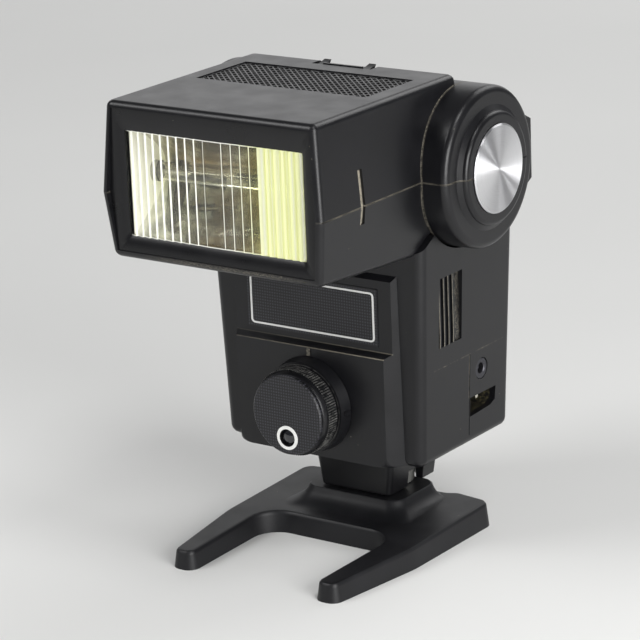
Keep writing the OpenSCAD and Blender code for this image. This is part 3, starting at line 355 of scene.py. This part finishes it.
def ringWithShadedBore():  # turned white ring, its bore painted black as shade so that the eye reads as a hole
    mat, tree, shader, coords = newMaterial("white ABS, turned ring, bore painted as shade", Roughness=eyeRing["rough"])
    _, _, reach = fromAxis(tree, coords, middleOf("eye_ring"), aboutY)
    white = addNode(tree, "ShaderNodeMapRange", {"Value": reach, "From Min": eyeRing["edgeMm"][0] * mm,
                                                 "From Max": eyeRing["edgeMm"][1] * mm})
    mix = addNode(tree, "ShaderNodeMix", {0: white.outputs[0], 6: linear(eyeRing["black"]),
                                          7: linear(eyeRing["white"])}, data_type="RGBA")
    tree.links.new(mix.outputs[2], shader.inputs["Base Color"])
    return mat


whiteRingShadedBore = ringWithShadedBore()
ticks = {"count": 36, "share": 0.1, "middleMm": 18.7, "halfMm": 1.1, "hard": 0.95, "sheet": "#b8b9ba",
         "ink": "#1a1a1c", "rough": 0.5}


def tickedScale():  # grey printed sheet with a ring of black strokes
    mat, tree, shader, coords = newMaterial("aluminium sheet, printed strokes", Roughness=ticks["rough"])
    about, _, reach = fromAxis(tree, coords, tilt, aboutX)
    _, y, z = addNode(tree, "ShaderNodeSeparateXYZ", {0: about}).outputs
    angle = addNode(tree, "ShaderNodeMath", {0: z, 1: y}, operation="ARCTAN2").outputs[0]
    turn = addNode(tree, "ShaderNodeMath", {0: angle, 1: ticks["count"] / (2 * math.pi)},
                   operation="MULTIPLY").outputs[0]
    near = addNode(tree, "ShaderNodeMath", {0: turn, 1: 0.5}, operation="PINGPONG").outputs[0]
    stroke = addNode(tree, "ShaderNodeMath", {0: near, 1: ticks["share"]}, operation="LESS_THAN").outputs[0]
    inked = allOf(tree, stroke, lineAt(tree, reach, ticks["middleMm"], ticks["halfMm"], ticks["hard"]))
    mix = addNode(tree, "ShaderNodeMix", {0: inked, 6: linear(ticks["sheet"]), 7: linear(ticks["ink"])},
                  data_type="RGBA")
    tree.links.new(mix.outputs[2], shader.inputs["Base Color"])
    return mat


greyScale = tickedScale()
ageing = {"fromMm": 4, "toMm": 20, "streakMm": 1.1, "streakSpan": (0.35, 0.65)}
quartz = {"colour": "#fbfaf2", "rough": 0.02}


def letLampsThrough(tree, shader, tone):  # lamps light what lies behind, tinted by the glass
    path = addNode(tree, "ShaderNodeLightPath")
    through = addNode(tree, "ShaderNodeBsdfTransparent", {"Color": tone})
    both = addNode(tree, "ShaderNodeMixShader", {0: path.outputs["Is Shadow Ray"], 1: shader.outputs[0],
                                                 2: through.outputs[0]})
    tree.links.new(both.outputs[0], tree.nodes["Material Output"].inputs["Surface"])


def clearAcrylic(name, colour, aged, rough=0.02, clear=1.0, streaks=0):  # yellower to the right
    mat, tree, shader, coords = newMaterial(name, IOR=1.49, Transmission_Weight=clear, Roughness=rough)
    x = addNode(tree, "ShaderNodeSeparateXYZ", {0: coords}).outputs["X"]
    age = addNode(tree, "ShaderNodeMapRange", {
        "Value": x, "From Min": ageing["fromMm"] * mm, "From Max": ageing["toMm"] * mm},
        interpolation_type="SMOOTHSTEP")
    tone = addNode(tree, "ShaderNodeMix", {0: age.outputs[0], 6: linear(colour), 7: linear(aged)},
                   data_type="RGBA").outputs[2]
    if streaks:
        along = addNode(tree, "ShaderNodeTexNoise", {"W": x, "Scale": 1 / (ageing["streakMm"] * mm),
                                                     "Detail": 3.0}, noise_dimensions="1D").outputs["Fac"]
        streak = addNode(tree, "ShaderNodeMapRange", {
            "Value": along, "From Min": ageing["streakSpan"][0], "From Max": ageing["streakSpan"][1],
            "To Max": streaks})
        tone = addNode(tree, "ShaderNodeMix", {0: streak.outputs[0], 6: tone, 7: linear(colour)},
                       data_type="RGBA").outputs[2]
    tree.links.new(tone, shader.inputs["Base Color"])
    letLampsThrough(tree, shader, tone)
    return mat


def quartzTube():  # drawn quartz: clear and faintly warm
    tone = linear(quartz["colour"])
    mat, tree, shader, _ = newMaterial("quartz glass tube", IOR=1.49, Transmission_Weight=1.0,
                                       Roughness=quartz["rough"], Base_Color=tone)
    letLampsThrough(tree, shader, tone)
    return mat


windowAcrylic = clearAcrylic("acrylic, moulded ribs", "#fcfcf7", "#eef09a")  # clear, bends the trough
ribAcrylic = clearAcrylic("acrylic, matt rib edges", "#fffff6", "#f8fbc4", 0.5, 0.2)  # bright fine lines
hazedAcrylic = clearAcrylic("acrylic, yellowed ribs", "#fbfdec", "#eff3a4", 0.35, 0.3, 0.8)  # milky yellow
tubeGlass = quartzTube()
mirror = {"bright": "#f8f7f3", "rough": 0.08, "waveMm": 11, "waveDepth": 0.3, "waveHighMm": 1.2,
          "sootFromMm": 117, "sootToMm": 123, "sootBelow": "#a2a4a2", "sootAbove": "#6b5424",
          "burn": (-9, 25, 0.65), "cover": (7, 0.2, 0.55, 0.92), "endLean": 0.9}


def brightAluminium():  # anodised mirror sheet, burnt brown above and grey below behind the tube
    mat, tree, shader, coords = newMaterial("aluminium, bright anodised sheet", Metallic=1.0,
                                            Roughness=mirror["rough"])
    wave = addNode(tree, "ShaderNodeTexNoise", {"Vector": coords, "Scale": 1 / (mirror["waveMm"] * mm),
                                                "Detail": 2.0})
    x, _, z = addNode(tree, "ShaderNodeSeparateXYZ", {0: coords}).outputs
    above = addNode(tree, "ShaderNodeMapRange", {"Value": z, "From Min": mirror["sootFromMm"] * mm,
                                                 "From Max": mirror["sootToMm"] * mm})
    soot = addNode(tree, "ShaderNodeMix", {0: above.outputs[0], 6: linear(mirror["sootBelow"]),
                                           7: linear(mirror["sootAbove"])}, data_type="RGBA")
    burnt = allOf(tree, lineAt(tree, x, *mirror["burn"]), patches(tree, coords, *mirror["cover"]))
    mix = addNode(tree, "ShaderNodeMix", {0: burnt, 6: linear(mirror["bright"]), 7: soot.outputs[2]},
                  data_type="RGBA")
    bump = addNode(tree, "ShaderNodeBump", {"Height": wave.outputs["Fac"], "Strength": mirror["waveDepth"],
                                            "Distance": mirror["waveHighMm"] * mm})
    tree.links.new(mix.outputs[2], shader.inputs["Base Color"])
    tree.links.new(bump.outputs["Normal"], shader.inputs["Normal"])
    return mat


reflectorSheet = brightAluminium()
print("finishes ready")

dressed = {
    "tripod_insert": brass, "foot_plate": trimBlack, "foot_contact": contactGold, "lock_wheel": nickel,
    "name_plate": plateWeave, "battery_door": bodyBlack, "battery_holder": holderGrey,
    "aa_cells": cellSleeve, "battery_contacts": springSteel, "main_capacitor": capacitorSleeve,
    "circuit_board": boardGreen, "transformer": windingTape, "ac_socket": socketBlack,
    "ac_pins": pinNickel, "power_switch": redAbs, "ready_button": amberAcrylic, "body_screws": screwSteel,
    "tilt_yoke": trimBlack, "sensor_base": knobBlack, "sensor_cap": plateWeave, "eye_ring": whiteRingShadedBore,
    "sensor_lens": darkGlass, "sensor_pins": contactGold, "tube_caps": springSteel,
    "hub_disc": spunAluminium, "dial_scale": greyScale, "dial_ring": knobBlack, "dial_rivet": nickel,
    "pivot_axle": springSteel, "head_screws": screwSteel}
for node, finish in dressed.items():
    nodes[node].data.materials.clear()
    nodes[node].data.materials.append(finish)

softEdge = {"segments": 2, "degrees": 38}


def addPiece(bm, name, finish, body, stands=(), sharp=32, edgeMm=0):
    # edges that turn more than sharp degrees stay crisp, the rest shade as one surface
    for edge in bm.edges:
        edge.smooth = len(edge.link_faces) == 2 and edge.calc_face_angle(0) < math.radians(sharp)
    for face in bm.faces:
        face.smooth = True
    mesh = bpy.data.meshes.new(name)
    bm.to_mesh(mesh)
    bm.free()
    mesh.materials.append(finish)
    piece = bpy.data.objects.new(name, mesh)
    bpy.context.scene.collection.objects.link(piece)
    if edgeMm:
        edges = piece.modifiers.new("soft edges", "BEVEL")
        edges.width = edgeMm * mm
        edges.segments = softEdge["segments"]
        edges.limit_method = "ANGLE"
        edges.angle_limit = math.radians(softEdge["degrees"])
    piece.modifiers.new("even shading", "WEIGHTED_NORMAL").keep_sharp = True
    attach(piece, body)
    if stands:
        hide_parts(*stands)
    return piece


merging = {"joinMm": 0.002, "flatDegrees": 0.3}


def mouldingOf(node):  # the CAD skin with its loose triangles merged into whole faces
    bm = bmesh.new()
    bm.from_mesh(nodes[node].data)
    bmesh.ops.remove_doubles(bm, verts=bm.verts, dist=merging["joinMm"] * mm)
    bmesh.ops.dissolve_limit(bm, angle_limit=math.radians(merging["flatDegrees"]), verts=bm.verts,
                             edges=bm.edges)
    return bm


mouldings = {
    "head_upper_shell": ("head_top", headBlack, "head", "black_satin", 0.15),
    "head_lower_shell": ("head_base", headBlack, "head", "black_satin", 0.15),
    "front_bezel": ("window_frame", frameBlack, "head", "black_satin", 0.15),
    "front_shell": ("body_front", bodyBlack, "flash", "black_satin", 0.3),
    "rear_shell": ("body_rear", bodyBlack, "flash", "black_satin", 0.2),
    "foot_neck": ("neck", trimBlack, "flash", "black_satin", 0.3),
    "stand_base": ("stand", standBlack, "stand", "black_satin", 0)}
panel = {"bottomMm": 30.4, "faceMm": -34.2, "nearMm": 0.1, "cornerMm": 4.2, "segments": 5}
for node, (name, finish, body, slot, edgeMm) in mouldings.items():
    skin = mouldingOf(node)
    if node == "front_shell":  # the panel's lower corners are well rounded
        corners = [v for v in skin.verts if abs(v.co.z - panel["bottomMm"] * mm) < panel["nearMm"] * mm
                   and abs(v.co.y - panel["faceMm"] * mm) < panel["nearMm"] * mm]
        bmesh.ops.bevel(skin, geom=corners, offset=panel["cornerMm"] * mm, segments=panel["segments"],
                        profile=0.5, affect="VERTICES", material=-1, clamp_overlap=True)
    addPiece(skin, name, finish, body, [node], edgeMm=edgeMm)

trough = mouldingOf("reflector")
for face in trough.faces:
    face.material_index = int(abs(face.normal.x) > mirror["endLean"])  # its two end plates, white as painted reflection
addPiece(trough, "reflector_trough", reflectorSheet, "head",
         ["reflector"]).data.materials.append(endPlatesPaintedReflection)
print("mouldings finished")


def vertsOf(geom):
    return [v for v in geom if isinstance(v, bmesh.types.BMVert)]


outline = {"wideMm": 0.56, "cornerMm": 1.3, "segments": 5}


def plateOutline():  # thin line of white ink with round corners
    low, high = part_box("plate_frame")
    bm = bmesh.new()
    places = ((low.x, low.z), (high.x, low.z), (high.x, high.z), (low.x, high.z))
    corners = [bm.verts.new((x, high.y, z)) for x, z in places]
    bm.faces.new(corners)
    bmesh.ops.bevel(bm, geom=corners, offset=outline["cornerMm"] * mm, segments=outline["segments"],
                    profile=0.5, affect="VERTICES", material=-1)
    middle = bm.faces[:]
    line = bmesh.ops.inset_region(bm, faces=middle, thickness=outline["wideMm"] * mm, use_boundary=True,
                                  use_even_offset=True)["faces"]
    bmesh.ops.delete(bm, geom=middle, context="FACES")
    raised = bmesh.ops.extrude_face_region(bm, geom=line)["geom"]
    bmesh.ops.translate(bm, verts=vertsOf(raised), vec=(0, low.y - high.y, 0))
    bmesh.ops.recalc_face_normals(bm, faces=bm.faces)
    return bm


addPiece(plateOutline(), "plate_outline", whiteInk, "flash", ["plate_frame"])
print("plate outline finished")

ribs = {"leftMm": 0.17, "rightMm": 0.26, "farMm": 0.7, "farFrom": 15, "edgeMm": 0.28, "flangeMm": 1.1,
        "longMm": 20, "straightMm": 0.001, "levelMm": 0.01, "cutMm": 0.0005, "frontMm": 0.8, "rimMm": 2,
        "frontLean": 0.5, "riserLean": 0.6}


def ribbedWindow():  # each rib has a narrow matt edge that the light picks out
    bm = mouldingOf("window_lens")
    low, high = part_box("window_lens")
    ridges = {round(e.verts[0].co.x, 6) for e in bm.edges
              if abs(e.verts[0].co.x - e.verts[1].co.x) < ribs["straightMm"] * mm
              and max(v.co.y for v in e.verts) < low.y + ribs["levelMm"] * mm
              and e.calc_length() > ribs["longMm"] * mm}
    strips = [(x, x + ribs["farMm" if x > ribs["farFrom"] * mm else "rightMm"] * mm) if x > 0
              else (x - ribs["leftMm"] * mm, x) for x in ridges]
    cuts = [((x, 0, 0), (1, 0, 0)) for strip in strips for x in strip]
    inset = (ribs["flangeMm"] + ribs["edgeMm"]) * mm
    bars = (low.z + inset, high.z - inset)
    for place, normal in cuts + [((0, 0, z), (0, 0, 1)) for z in bars]:
        bmesh.ops.bisect_plane(bm, geom=bm.verts[:] + bm.edges[:] + bm.faces[:], dist=ribs["cutMm"] * mm,
                               plane_co=place, plane_no=normal)
    for face in bm.faces:
        middle = face.calc_center_median()
        ahead = middle.y < low.y + ribs["frontMm"] * mm
        front = ahead and face.normal.y < -ribs["frontLean"]
        inside = abs(middle.x) < high.x - ribs["rimMm"] * mm
        riser = ahead and inside and abs(face.normal.x) > ribs["riserLean"]
        onStrip = any(a < middle.x < b for a, b in strips) or not bars[0] < middle.z < bars[1]
        hazed = front and middle.x > ribs["farFrom"] * mm
        face.material_index = 1 if riser or (front and onStrip) else 2 if hazed else 0
    return bm


window = addPiece(ribbedWindow(), "ribbed_window", windowAcrylic, "head", ["window_lens"],
                  sharp=8)
window.data.materials.append(ribAcrylic)
window.data.materials.append(hazedAcrylic)
print("window finished")

teeth = {"count": 104, "wideMm": 0.46, "highMm": 0.5, "roundMm": 0.1, "segments": 2, "barMm": 0.45,
         "boreMm": 10.3, "coneMm": 1.25, "spareMm": 0.9, "backMm": 0.7, "lipMm": 0.15, "slopeMm": 0.5,
         "tipMm": 0.7, "steps": 96}


def knurledRing():  # plain turned ring with a row of fine rounded teeth
    low, high, middle = ringLow, ringHigh, ringMiddle
    core = ringR - teeth["barMm"] * mm
    bm = bmesh.new()
    tooth = bmesh.ops.create_cube(bm, size=1)["verts"]
    length = high.y - low.y - (teeth["coneMm"] + teeth["spareMm"]) * mm
    bmesh.ops.scale(bm, verts=tooth, vec=(teeth["wideMm"] * mm, length, teeth["highMm"] * mm * 2))
    bmesh.ops.translate(bm, verts=tooth, vec=(0, 0, core))
    outer = [e for e in bm.edges if all(v.co.z > core for v in e.verts)]
    bmesh.ops.bevel(bm, geom=outer, offset=teeth["roundMm"] * mm, segments=teeth["segments"], profile=0.5,
                    affect="EDGES", material=-1)
    bmesh.ops.translate(bm, verts=bm.verts, vec=(0, high.y - teeth["backMm"] * mm - length / 2, middle.z))
    bmesh.ops.spin(bm, geom=bm.verts[:] + bm.edges[:] + bm.faces[:], cent=middle, axis=(0, 1, 0),
                   angle=2 * math.pi, steps=teeth["count"], use_duplicate=True)
    bore = teeth["boreMm"] * mm
    profile = [(high.y, bore), (high.y, core), (low.y + teeth["coneMm"] * mm, core),
               (low.y + teeth["lipMm"] * mm, core - teeth["slopeMm"] * mm),
               (low.y, core - teeth["tipMm"] * mm), (low.y, bore)]
    rim = [bm.verts.new((middle.x, y, middle.z + radius)) for y, radius in profile]
    edges = [bm.edges.new((rim[i - 1], rim[i])) for i in range(len(rim))]
    bmesh.ops.spin(bm, geom=rim + edges, cent=middle, axis=(0, 1, 0), angle=2 * math.pi,
                   steps=teeth["steps"], use_merge=True)
    bmesh.ops.recalc_face_normals(bm, faces=bm.faces)
    return bm


addPiece(knurledRing(), "knurled_ring", knobBlack, "ring", ["mode_ring"])
print("sensor ring finished")

grille = {"pitchMm": 2.05, "flatMm": 0.25, "roundMm": 0.08, "deepMm": 0.4, "draftMm": 0.02, "leastMm": 0.55,
          "mergeMm": 0.06}


def topGrille():  # moulded mesh of slanted oblong holes, with soft edges; the hole walls and floors are painted near black as shade
    low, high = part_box("top_grille")
    middle = (low + high) / 2
    side = grille["pitchMm"] * mm / math.sqrt(2)
    count = 2 * math.ceil(math.hypot(high.x - low.x, high.y - low.y) / 2 / side)
    bm = bmesh.new()
    bmesh.ops.create_grid(bm, x_segments=count, y_segments=count // 2, size=count * side / 2)
    bmesh.ops.rotate(bm, verts=bm.verts, matrix=Matrix.Rotation(math.radians(45), 3, "Z"))
    bmesh.ops.translate(bm, verts=bm.verts, vec=(middle.x, middle.y, low.z))
    for corner, sign in ((low, -1), (high, 1)):
        for normal in (Vector((sign, 0, 0)), Vector((0, sign, 0))):
            bmesh.ops.bisect_plane(bm, geom=bm.verts[:] + bm.edges[:] + bm.faces[:], plane_co=corner,
                                   plane_no=normal, clear_outer=True)
    bmesh.ops.remove_doubles(bm, verts=bm.verts, dist=grille["mergeMm"] * mm)
    raised = bmesh.ops.extrude_face_region(bm, geom=bm.faces[:], use_keep_orig=True)["geom"]
    bmesh.ops.translate(bm, verts=vertsOf(raised), vec=(0, 0, high.z - low.z))
    bmesh.ops.recalc_face_normals(bm, faces=bm.faces)
    holes = [f for f in raised if isinstance(f, bmesh.types.BMFace)  # clipped cells stay solid
             and 2 * f.calc_area() / f.calc_perimeter() > grille["leastMm"] * mm]
    bmesh.ops.inset_individual(bm, faces=holes, thickness=grille["flatMm"] * mm)
    bmesh.ops.inset_individual(bm, faces=holes, thickness=grille["roundMm"] * mm,
                               depth=-grille["roundMm"] * mm)
    walls = bmesh.ops.inset_individual(bm, faces=holes, thickness=grille["draftMm"] * mm,
                                       depth=-grille["deepMm"] * mm)["faces"]
    # painted shade: the hole walls and floors take the near-black finish
    for face in holes + walls:
        face.material_index = 1
    return bm


mesh = addPiece(topGrille(), "grille_mesh", trimBlack, "head", ["top_grille"], sharp=25)
mesh.data.materials.append(paintedShadeInside)
print("grille finished")

axisGap = 0.05 * mm  # solid profiles stop just short of the axis they spin about


def turned(name, profile, centre, finish, body, stands=(), steps=48):  # spun about an axis along X
    bm = bmesh.new()
    ring = [bm.verts.new(centre + Vector((x, 0, r))) for x, r in profile]
    edges = [bm.edges.new((ring[i - 1], ring[i])) for i in range(len(ring))]
    bmesh.ops.spin(bm, geom=ring + edges, cent=centre, axis=(1, 0, 0), angle=2 * math.pi, steps=steps,
                   use_merge=True)
    bmesh.ops.recalc_face_normals(bm, faces=bm.faces)
    return addPiece(bm, name, finish, body, stands)


tube = {"wallMm": 0.6, "electrodeMm": 0.85, "electrodeLong": 9, "shoulderMm": 0.4, "shoulderShare": 0.6,
        "noseMm": 0.5, "electrodeSteps": 24}
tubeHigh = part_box("flash_tube")[1]
tubeMiddle = middleOf("flash_tube")
tubeHalf, tubeR = tubeHigh.x, tubeHigh.z - tubeMiddle.z
tubeBore = tubeR - tube["wallMm"] * mm
turned("glass_tube", [(-tubeHalf, tubeR), (tubeHalf, tubeR), (tubeHalf, tubeBore), (-tubeHalf, tubeBore)],
       tubeMiddle, tubeGlass, "head", ["flash_tube"])
for sign, name in ((-1, "electrode_left"), (1, "electrode_right")):
    r, tip = tube["electrodeMm"] * mm, tubeHalf - tube["electrodeLong"] * mm
    profile = [(tubeHalf, axisGap), (tubeHalf, r), (tip, r),
               (tip - tube["shoulderMm"] * mm, tube["shoulderShare"] * r),
               (tip - tube["noseMm"] * mm, axisGap)]
    turned(name, [(sign * x, radius) for x, radius in profile], tubeMiddle, springSteel, "head",
           steps=tube["electrodeSteps"])
print("tube finished")

jack = {"boreMm": 1.65, "deepMm": 4, "pinMm": 0.55, "pinBackMm": 1.2, "rimMm": 0.3}
jackLow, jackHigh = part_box("sync_socket")
jackR, front = (jackHigh.z - jackLow.z) / 2, jackHigh.x - jackLow.x
bore, pin, rim = (jack[k] * mm for k in ("boreMm", "pinMm", "rimMm"))
floorX, pinX = front - jack["deepMm"] * mm, front - jack["pinBackMm"] * mm
profile = [(0, axisGap), (0, jackR), (front - rim, jackR), (front, jackR - rim), (front, bore + rim),
           (front - rim, bore), (floorX, bore), (floorX, pin), (pinX, pin), (pinX + rim, axisGap)]
turned("sync_jack", profile, Vector((jackLow.x, *middleOf("sync_socket")[1:])), darkNickel, "flash",
       ["sync_socket"])
print("sync socket finished")

catch = {"plateMm": 0.7, "nearMm": 0.05, "heightShare": 0.55, "bar": (13.8, 0.8, 0.85), "barBackMm": 1.1,
         "barSunkMm": 0.1}


def lowCatch():  # two low points joined by a bar along their front
    bm = mouldingOf("rear_catch")
    low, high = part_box("rear_catch")
    top = low.z + catch["plateMm"] * mm
    points = [v for v in bm.verts if v.co.z > top + catch["nearMm"] * mm]
    bmesh.ops.scale(bm, verts=points, vec=(1, 1, catch["heightShare"]),
                    space=Matrix.Translation((0, 0, -top)))
    bar = bmesh.ops.create_cube(bm, size=1)["verts"]
    bmesh.ops.scale(bm, verts=bar, vec=Vector(catch["bar"]) * mm)
    bmesh.ops.translate(bm, verts=bar, vec=((low.x + high.x) / 2, low.y + catch["barBackMm"] * mm,
                                            top + (catch["bar"][2] / 2 - catch["barSunkMm"]) * mm))
    return bm


addPiece(lowCatch(), "catch_points", trimBlack, "head", ["rear_catch"])
print("catch finished")

camera = {"place": (0.49434, -0.71783, 0.33026), "azimuth": 35.6198, "elevation": 16.9927, "roll": -2.3065,
          "lens": 167.964, "sensor": 36}
a, e, r = (math.radians(camera[k]) for k in ("azimuth", "elevation", "roll"))
back = Vector((math.sin(a) * math.cos(e), -math.cos(a) * math.cos(e), math.sin(e)))
right = Vector((math.cos(a), math.sin(a), 0))
up = back.cross(right)
axes = (right * math.cos(r) + up * math.sin(r), up * math.cos(r) - right * math.sin(r), back)
eye = bpy.data.objects.new("camera", bpy.data.cameras.new("camera"))
eye.data.lens = camera["lens"]
eye.data.sensor_width = camera["sensor"]
eye.matrix_world = Matrix.Translation(camera["place"]) @ Matrix(axes).transposed().to_4x4()
bpy.context.scene.collection.objects.link(eye)
bpy.context.scene.camera = eye

studio = {"floorHalf": 4, "floor": "#e8e8e6", "floorRough": 0.9, "floorCloudMm": 400, "sky": "#e6e7ea",
          "skyStrength": 0.2, "aim": (0, -0.02, 0.07)}
floorBm = bmesh.new()
bmesh.ops.create_grid(floorBm, x_segments=1, y_segments=1, size=studio["floorHalf"])
floorMesh = bpy.data.meshes.new("floor")
floorBm.to_mesh(floorMesh)
floorBm.free()
floorMesh.materials.append(tinted("backdrop paper, matt", studio["floor"], studio["floorRough"],
                                  studio["floorCloudMm"]))
floor = bpy.data.objects.new("floor", floorMesh)
bpy.context.scene.collection.objects.link(floor)

lamps = {"key": {"place": (-0.75, -0.95, 1.1), "size": (0.7, 0.7), "watts": 10},
         "strip": {"place": (0.66, -0.35, 0.25), "size": (0.42, 0.45), "watts": 5.5},
         "top": {"place": (0.62, -0.2, 1.25), "size": (0.4, 0.4), "watts": 4.5},
         "back": {"place": (0.2, 1.1, 1.0), "size": (0.8, 0.8), "watts": 6},
         "backdrop": {"place": (-0.75, 1.05, 0.5), "size": (1.5, 0.8), "watts": 3}}
for name, lamp in lamps.items():
    light = bpy.data.lights.new(name, "AREA")
    light.energy = lamp["watts"]
    light.shape = "RECTANGLE"
    light.size, light.size_y = lamp["size"]
    lampObject = bpy.data.objects.new(name, light)
    lampObject.location = lamp["place"]
    toward = Vector(studio["aim"]) - Vector(lamp["place"])
    lampObject.rotation_euler = toward.to_track_quat("-Z", "Y").to_euler()
    bpy.context.scene.collection.objects.link(lampObject)

world = bpy.data.worlds.new("studio")
bpy.context.scene.world = world
world.use_nodes = True
sky = world.node_tree.nodes["Background"].inputs
sky["Color"].default_value = linear(studio["sky"])
sky["Strength"].default_value = studio["skyStrength"]
bpy.context.scene.view_settings.view_transform = "Standard"
print("stage set")
